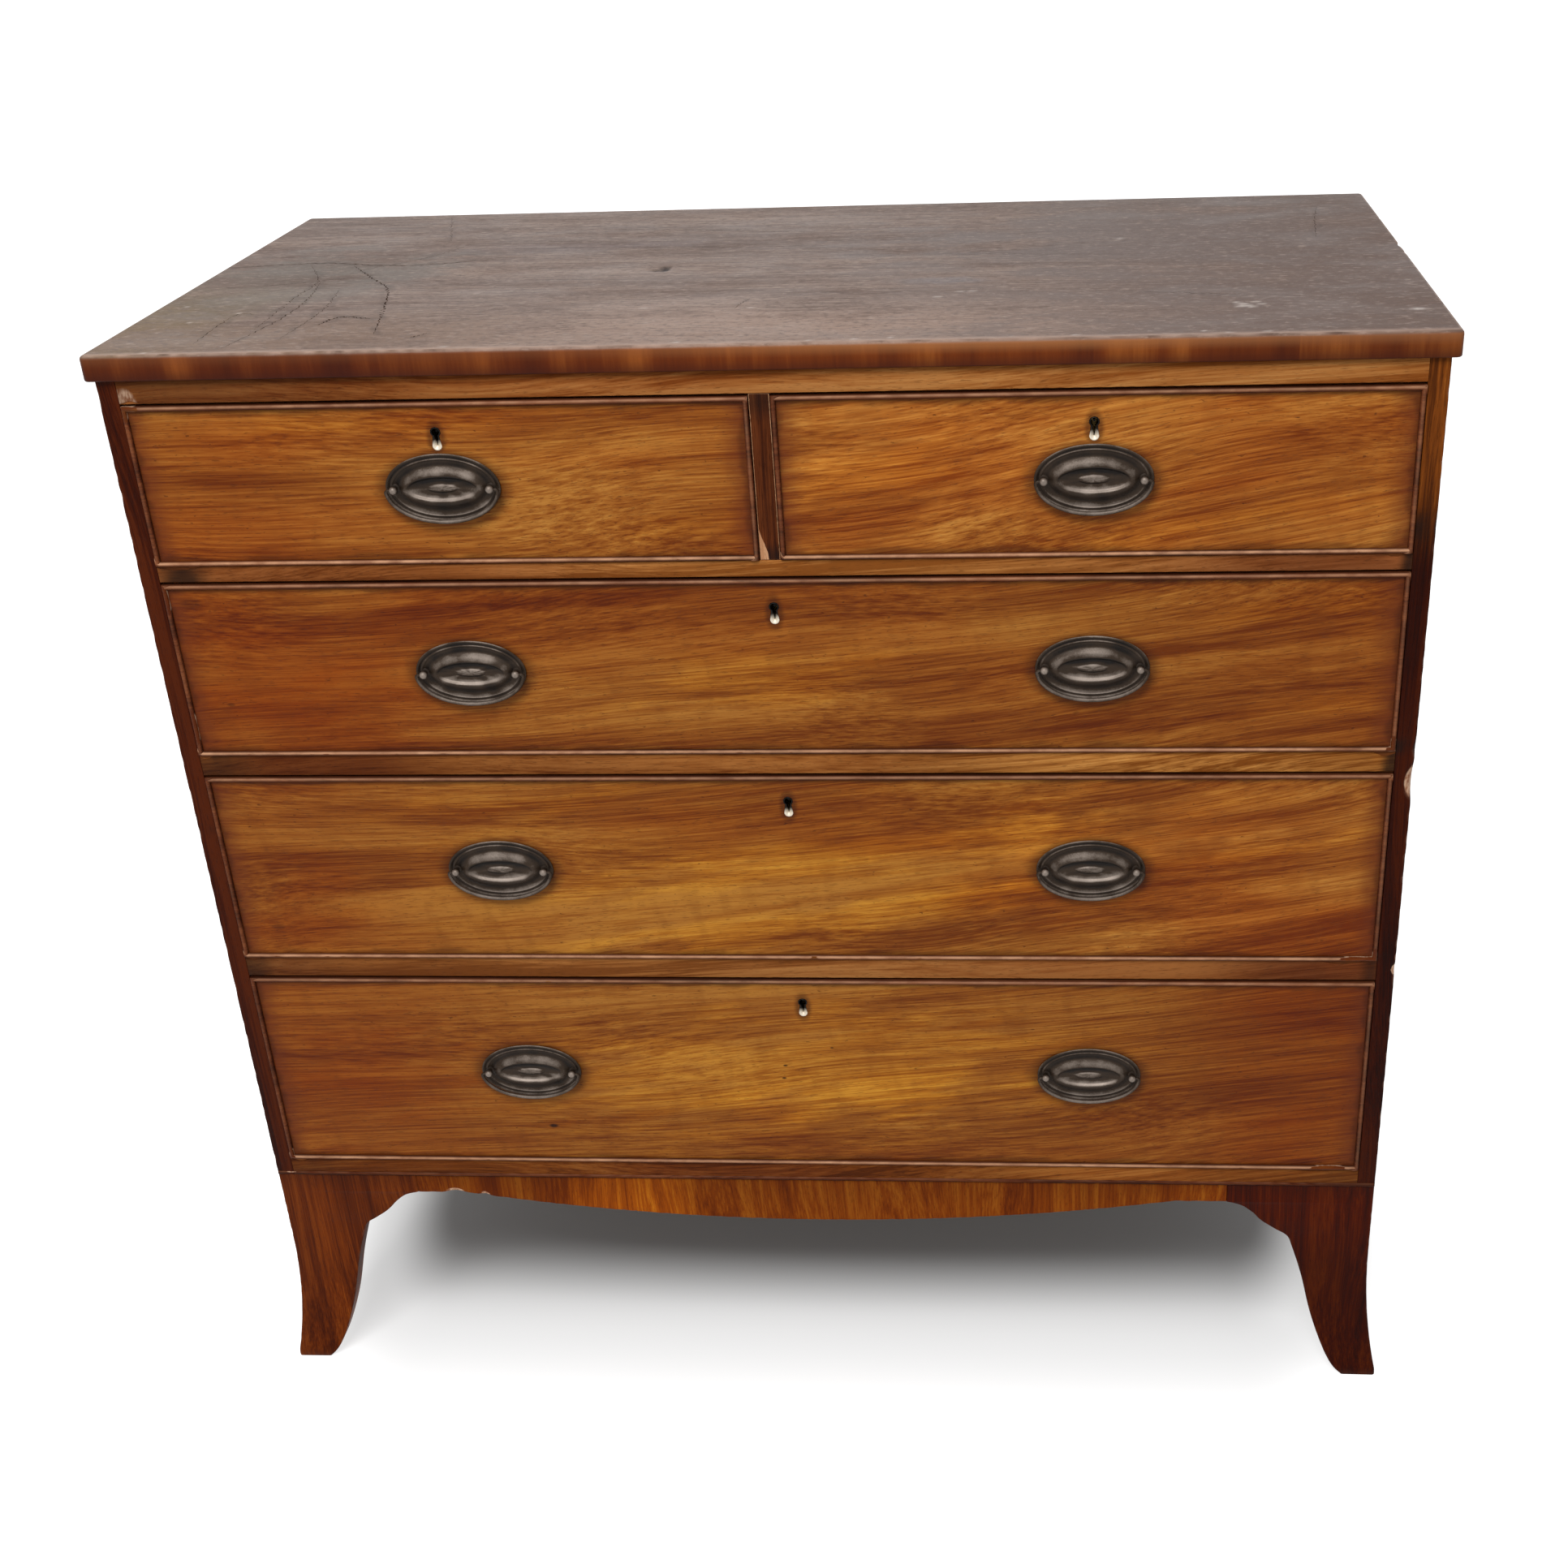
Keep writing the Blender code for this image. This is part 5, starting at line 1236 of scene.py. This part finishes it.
# A post behind its ball: the neck, collar, shank and nut, as (distance along Y, radius) in millimetres
POST = np.array([
    (-3.4, 1.9), (-2.2, 2.0), (-1.9, 3.2), (-1.5, 3.9), (-0.9, 4.1), (-0.2, 4.1), (-0.1, 2.2),
    (20.2, 2.2), (20.3, 5.2), (20.7, 5.5), (22.9, 5.5), (23.3, 5.1), (23.35, 2.4), (23.3, 2.1), (23.2, 0.2),
])


def oval_plate(name, body, finish):
    """A handle's plate and its two posts.

    Each ring is an ellipse, and its size and height run smoothly through the table. The back turns
    in behind the rim. The posts are turned: collar, neck, ball, and the shank and nut behind.
    """
    middle = middle_of(f"{name}_backplate")
    centre = np.array((middle.x, FRONT - 0.3 * MM, middle.z))
    rings = np.concatenate([((0.93, 0.9, 0.0), (0.99, 0.985, 0.0)), through(PLATE_RINGS, 3)])
    wide, tall, proud = rings.T
    angle = TURN * np.arange(112) / 112
    seed = sum(map(ord, name))
    uneven = 0.05 * MM * ripple(angle / TURN, seed, 2, 9)
    x = HANDLE_HALF[0] * wide[:, None] * np.cos(angle)
    z = HANDLE_HALF[1] * tall[:, None] * np.sin(angle)
    y = -MM * proud[:, None] - uneven * (proud[:, None] > 0.2)
    parts = [skin(np.stack([x, y, z], -1) + centre)]
    # Painted light and shade: ledges that face up are painted lighter and those that face down darker, the
    # lower field and rim lighter and the upper well and rim darker
    fall = np.gradient(proud) / np.minimum(np.gradient(tall * HANDLE_HALF[1] / MM), -0.02)
    painted_ledge_light = -fall / np.sqrt(1 + fall**2) * (0.36 + 0.44 * peak(wide, 0.52, 0.12))
    rub = 0.32 + 0.08 * np.clip((proud - 2.2) / 2.8, 0, 1) + 0.16 * np.exp(-((wide / 0.24) ** 4))
    rub -= 0.20 * peak(wide, 0.935, 0.012) + 0.22 * peak(wide, 0.80, 0.05)
    rim = peak(wide, 0.975, 0.02)
    painted_lower_light = (0.30 * peak(wide, 0.82, 0.09) + 0.12 * rim)[:, None]
    painted_upper_shade = (0.16 * peak(wide, 0.50, 0.11) + 0.06 * rim)[:, None]
    wear = rub[:, None] + painted_ledge_light[:, None] * np.sin(angle) + 0.08 * ripple(angle / TURN, seed + 1, 2, 12)
    wear += painted_lower_light * np.clip(-np.sin(angle), 0, 1) ** 0.7 - painted_upper_shade * np.clip(np.sin(angle), 0, 1) ** 0.7
    wear = [np.clip(wear, 0, 1).ravel()]
    turn = np.linspace(0.06, 2.5, 12)
    ball = np.stack([-HINGE_PROUD - 3.5 * MM * np.cos(turn), 3.5 * MM * np.sin(turn)], -1)
    profile = np.concatenate([ball, POST * MM])
    ball_wear = [0.7, 0.75, 0.75, 0.7, 0.6, 0.5, 0.4] + [0.2] * (len(profile) - 7)
    for across in (-1, 1):
        parts.append(turned(profile, 24, (centre[0] + across * POST_OFFSET, FRONT, centre[2])))
        wear.append(np.repeat(ball_wear, 24))
    build(f"{name}_oval_plate", parts, finish, body, (f"{name}_backplate",),
          marks={"wear": np.concatenate(wear)})


def swing_bail(name, finish):
    """The bail: a round section carried along pin, bend, half an oval, bend and pin.

    The section's radius runs smoothly from the thin pins to the fuller middle of the grip.
    """
    middle = middle_of(f"{name}_backplate")
    centre = np.array((middle.x, FRONT - HINGE_PROUD, middle.z))
    bend, half, drop = 2.2 * MM, 45.3 * MM, 26.6 * MM
    pin = [(x * MM, 0.0, 1.1 * MM) for x in (37.9, 39.5, 41.0, 42.2)]
    turn = np.linspace(math.pi / 2, 0, 7)[1:]
    thickening = np.linspace(1.3, 1.5, 6) * MM
    corner = np.stack([half - bend + bend * np.cos(turn), -bend + bend * np.sin(turn), thickening], -1)
    start = math.asin(bend / drop)
    sweep = np.linspace(start, math.pi / 2, 42)[1:]
    swell = np.sin((sweep - start) / (math.pi / 2 - start) * math.pi / 2) ** 3
    full = 1.5 * MM + 0.2 * MM * swell
    grip = np.stack([half * np.cos(sweep), -drop * np.sin(sweep), full], -1)
    right = np.concatenate([np.array(pin), corner, grip])
    line = np.concatenate([right, right[-2::-1] * (-1, 1, 1)])
    way = np.gradient(line[:, :2], axis=0)
    way /= np.linalg.norm(way, axis=1, keepdims=True)
    angle = TURN * np.arange(16) / 16
    across = line[:, 2, None] * np.cos(angle)
    x = line[:, 0, None] - way[:, 1, None] * across
    z = line[:, 1, None] + way[:, 0, None] * across
    y = line[:, 2, None] * np.sin(angle)
    loops = np.stack([x, y, z], -1) + centre
    low_share = np.clip(-line[:, 1] / drop, 0, 1)[:, None]
    wear = 0.30 - 0.30 * np.sin(angle + 0.5) * (0.4 + 0.6 * low_share)
    build(f"{name}_swing_bail", [skin(loops)], finish, f"{name}_bail",
          (f"{name}_bail",), marks={"wear": wear})


# Making


def dress(finish, *nodes):
    """Carried-over nodes take a finish in place of their plain material."""
    for node in nodes:
        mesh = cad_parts[node].data
        mesh.materials.clear()
        mesh.materials.append(finish)


top_board()
top_cracks()
side_board("left", -1)
side_board("right", 1)
facings()
# The beads' worn tone is also their painted highlight.
bead_wood = worn_wood("bead_wood", ((58, 22, 8), (92, 42, 20), (122, 66, 36)), 61,
                      worn=(208, 158, 122), fleck_size=14 * MM)
base_bead(bead_wood)
front_apron(banded(
    "apron_banding", ((98, 38, 3), (132, 60, 9), (160, 88, 22)), 91, 0.09, 0.25,
    (((-0.18, 0, 0), (0.08, FAR, FAR), 1.0, (1.9, 2.1, 1.5)),),
))
left_veneer = banded(
    "left_foot_veneer", ((68, 23, 2), (102, 42, 9), (130, 62, 20)), 95, 0.13, 0.2,
    (((-0.484, 0, 0.12), (0.022, FAR, 0.14), 0.8, (1.5, 1.6, 1.3)),),
)
# The right feet are darker than the left: partly their own tone, partly painted shade as light falls from
# the left.
right_veneer = banded(
    "right_foot_veneer", ((38, 7, 0), (58, 15, 1), (80, 30, 6)), 98, 0.13, 0.2,
    (((0.5, 0, 0.25), (FAR, FAR, 0.13), 1.0, (1.8, 1.7, 1.4)),),
)
splayed_foot("front_left_foot", -1, False, left_veneer, 101)
splayed_foot("front_right_foot", 1, False, right_veneer, 102)
splayed_foot("back_left_foot", -1, True, left_veneer, 103)
splayed_foot("back_right_foot", 1, True, right_veneer, 104)

dress(worn_wood("rail_wood", ((80, 40, 18), (120, 66, 30), (150, 92, 46)), 49), *FACINGS)
dress(
    bare_timber("dustboard_pine", ((140, 104, 62), (170, 132, 84), (196, 160, 108)), "x", 53),
    "upper_dustboard", "middle_dustboard", "lower_dustboard",
)
dress(
    bare_timber("underside_pine", ((64, 46, 30), (88, 66, 44), (108, 84, 58)), "x", 58),
    "carcass_bottom",
)
dress(
    bare_timber("muntin_wood", ((150, 96, 60), (190, 136, 96), (214, 164, 124)), "z", 52),
    "centre_partition",
)
dress(
    bare_timber("back_pine", ((118, 88, 56), (146, 112, 74), (172, 138, 98)), "z", 54, 0.78,
                board_width=2 * (INSIDE_HALF + 6 * MM) / 5),
    "back_boards",
)
nail_iron = metal("nail_iron", (34, 26, 20), (66, 54, 45), (120, 108, 96), 0.6)
nail_rows = [
    (x, FRONT + CASE_DEPTH, z)
    for x in np.linspace(-0.49, 0.49, 10) for z in (FOOT_HEIGHT + 9 * MM, 0.66, CASE_TOP - 10 * MM)
]
domes("back_board_nails", nail_rows, 2.4 * MM, 0.7 * MM, nail_iron, "carcass")

oak = bare_timber("tray_oak", ((128, 96, 58), (158, 124, 80), (184, 150, 104)), "y", 55,
                  crosswise=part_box("upper_drawer_tray")[1].y - 13 * MM)
pine = bare_timber("drawer_pine", ((146, 112, 70), (178, 142, 94), (200, 166, 116)), "x", 56)
# The handles' wear mark carries painted light and shade as well as patina and rubbing.
brass = metal("handle_patina_and_painted_light", (12, 5, 1), (53, 41, 31), (168, 154, 143), 0.48, 0.35, marked=True)
liner_brass = metal("liner_brass", (10, 7, 5), (34, 24, 15), (226, 214, 194), 0.45, 0.3, marked=True)
# The lock's face behind the keyhole is painted dark as shade.
lock_brass = metal("lock_brass", (90, 68, 34), (150, 122, 70), (206, 176, 112), 0.40,
                   shaded_until=FRONT + 12 * MM)
bolt_iron = metal("bolt_iron", (50, 46, 42), (90, 84, 78), (160, 156, 150), 0.42)
for key, names in DRAWERS.items():
    dress(veneered_front(key), f"{key}_drawer_front")
    dress(oak, f"{key}_drawer_tray")
    dress(pine, f"{key}_drawer_bottom")
    dress(lock_brass, f"{key}_lock")
    dress(bolt_iron, f"{key}_lock_bolt")
    cock_beads(key, bead_wood)
    keyhole_liner(key, liner_brass)
    low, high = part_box(f"{key}_lock")
    screws = [
        (x, high.y, z)
        for x in (low.x + 6 * MM, high.x - 6 * MM) for z in (low.z + 6 * MM, high.z - 8 * MM)
    ]
    domes(f"{key}_lock_screws", screws, 2.6 * MM, 0.6 * MM, bolt_iron, f"{key}_drawer")
    for name in names:
        oval_plate(name, f"{key}_drawer", brass)
        swing_bail(name, brass)


# Stage


def plain_floor():
    """A white floor that keeps the chest's shadow.

    Away from the chest the camera and gloss see it lifted to plain white. The lift grows with the
    distance from the chest's own footprint.
    """
    mesh = bpy.data.meshes.new("floor")
    corners = [(-30, -30, 0), (30, -30, 0), (30, 30, 0), (-30, 30, 0)]
    mesh.from_pydata(corners, [], [(0, 1, 2, 3)])
    floor = bpy.data.objects.new("floor", mesh)
    bpy.context.scene.collection.objects.link(floor)
    finish = Finish("floor_white", roughness=0.9, specular=0.0)
    finish.feed(finish.shader["Base Color"], (0.56, 0.56, 0.56, 1))
    outside = []
    for axis, half, steepness in (("X", CASE_HALF - 0.12, 2.2), ("Y", 0.0, 1.0)):
        beyond = (finish.axis(axis).maths("ABSOLUTE") - half).maths("MAXIMUM", 0.0) * steepness
        outside.append(beyond * beyond)
    away = (outside[0] + outside[1]).maths("SQRT")
    camera_ray = finish.add("LightPath", outlet="Is Camera Ray")
    seen = camera_ray.maths("MAXIMUM", finish.add("LightPath", outlet="Is Glossy Ray"))
    rise = finish.band(away, 0.09, 0.24, 0.0, 0.45) + finish.band(away, 0.22, 0.46, 0.0, 0.55)
    finish.feed(finish.shader["Emission Color"], (1, 1, 1, 1))
    finish.feed(finish.shader["Emission Strength"], seen * rise)
    mesh.materials.append(finish.material)
    floor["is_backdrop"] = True


def softbox(name, place, aim, size, power):
    """A rectangular lamp at a place, turned to face a point."""
    light = bpy.data.lights.new(name, "AREA")
    light.shape, light.size, light.size_y, light.energy = "RECTANGLE", *size, power
    obj = bpy.data.objects.new(name, light)
    bpy.context.scene.collection.objects.link(obj)
    obj.location = place
    x, y, z = np.array(aim) - np.array(place)
    obj.rotation_euler = (math.atan2(math.hypot(x, y), -z), 0, math.atan2(-x, y))


def plain_world():
    """A white world that lights at a plain level, and that the camera and gloss see as white."""
    world = bpy.data.worlds.new("studio")
    bpy.context.scene.world = world
    world.use_nodes = True
    nodes = Nodes(world.node_tree)
    background = world.node_tree.nodes["Background"].inputs
    nodes.feed(background["Color"], (1, 1, 1, 1))
    seen = nodes.add("LightPath", outlet="Is Camera Ray")
    for other in ("Is Glossy Ray", "Is Transmission Ray"):
        seen = seen.maths("MAXIMUM", nodes.add("LightPath", outlet=other))
    strength = nodes.add("MapRange", {"Value": seen, "To Min": 0.48, "To Max": 1.0})
    nodes.feed(background["Strength"], strength)


plain_floor()
plain_world()
softbox("key", (-0.45, -2.0, 3.1), (0, 0, 0.5), (1.6, 1.3), 68)

camera = bpy.data.objects.new("camera", bpy.data.cameras.new("camera"))
bpy.context.scene.collection.objects.link(camera)
camera.location = (0.2241, -1.7258, 1.393)
camera.rotation_euler = [math.radians(a) for a in (62.4711, 1.9964, 3.5418)]
camera.data.lens = 44.771
camera.data.sensor_width = 36
camera.data.shift_x, camera.data.shift_y = -0.0819, 0.0103
camera.data.clip_start, camera.data.clip_end = 0.05, 100
bpy.context.scene.camera = camera
bpy.context.scene.view_settings.view_transform = "Standard"

low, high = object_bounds()
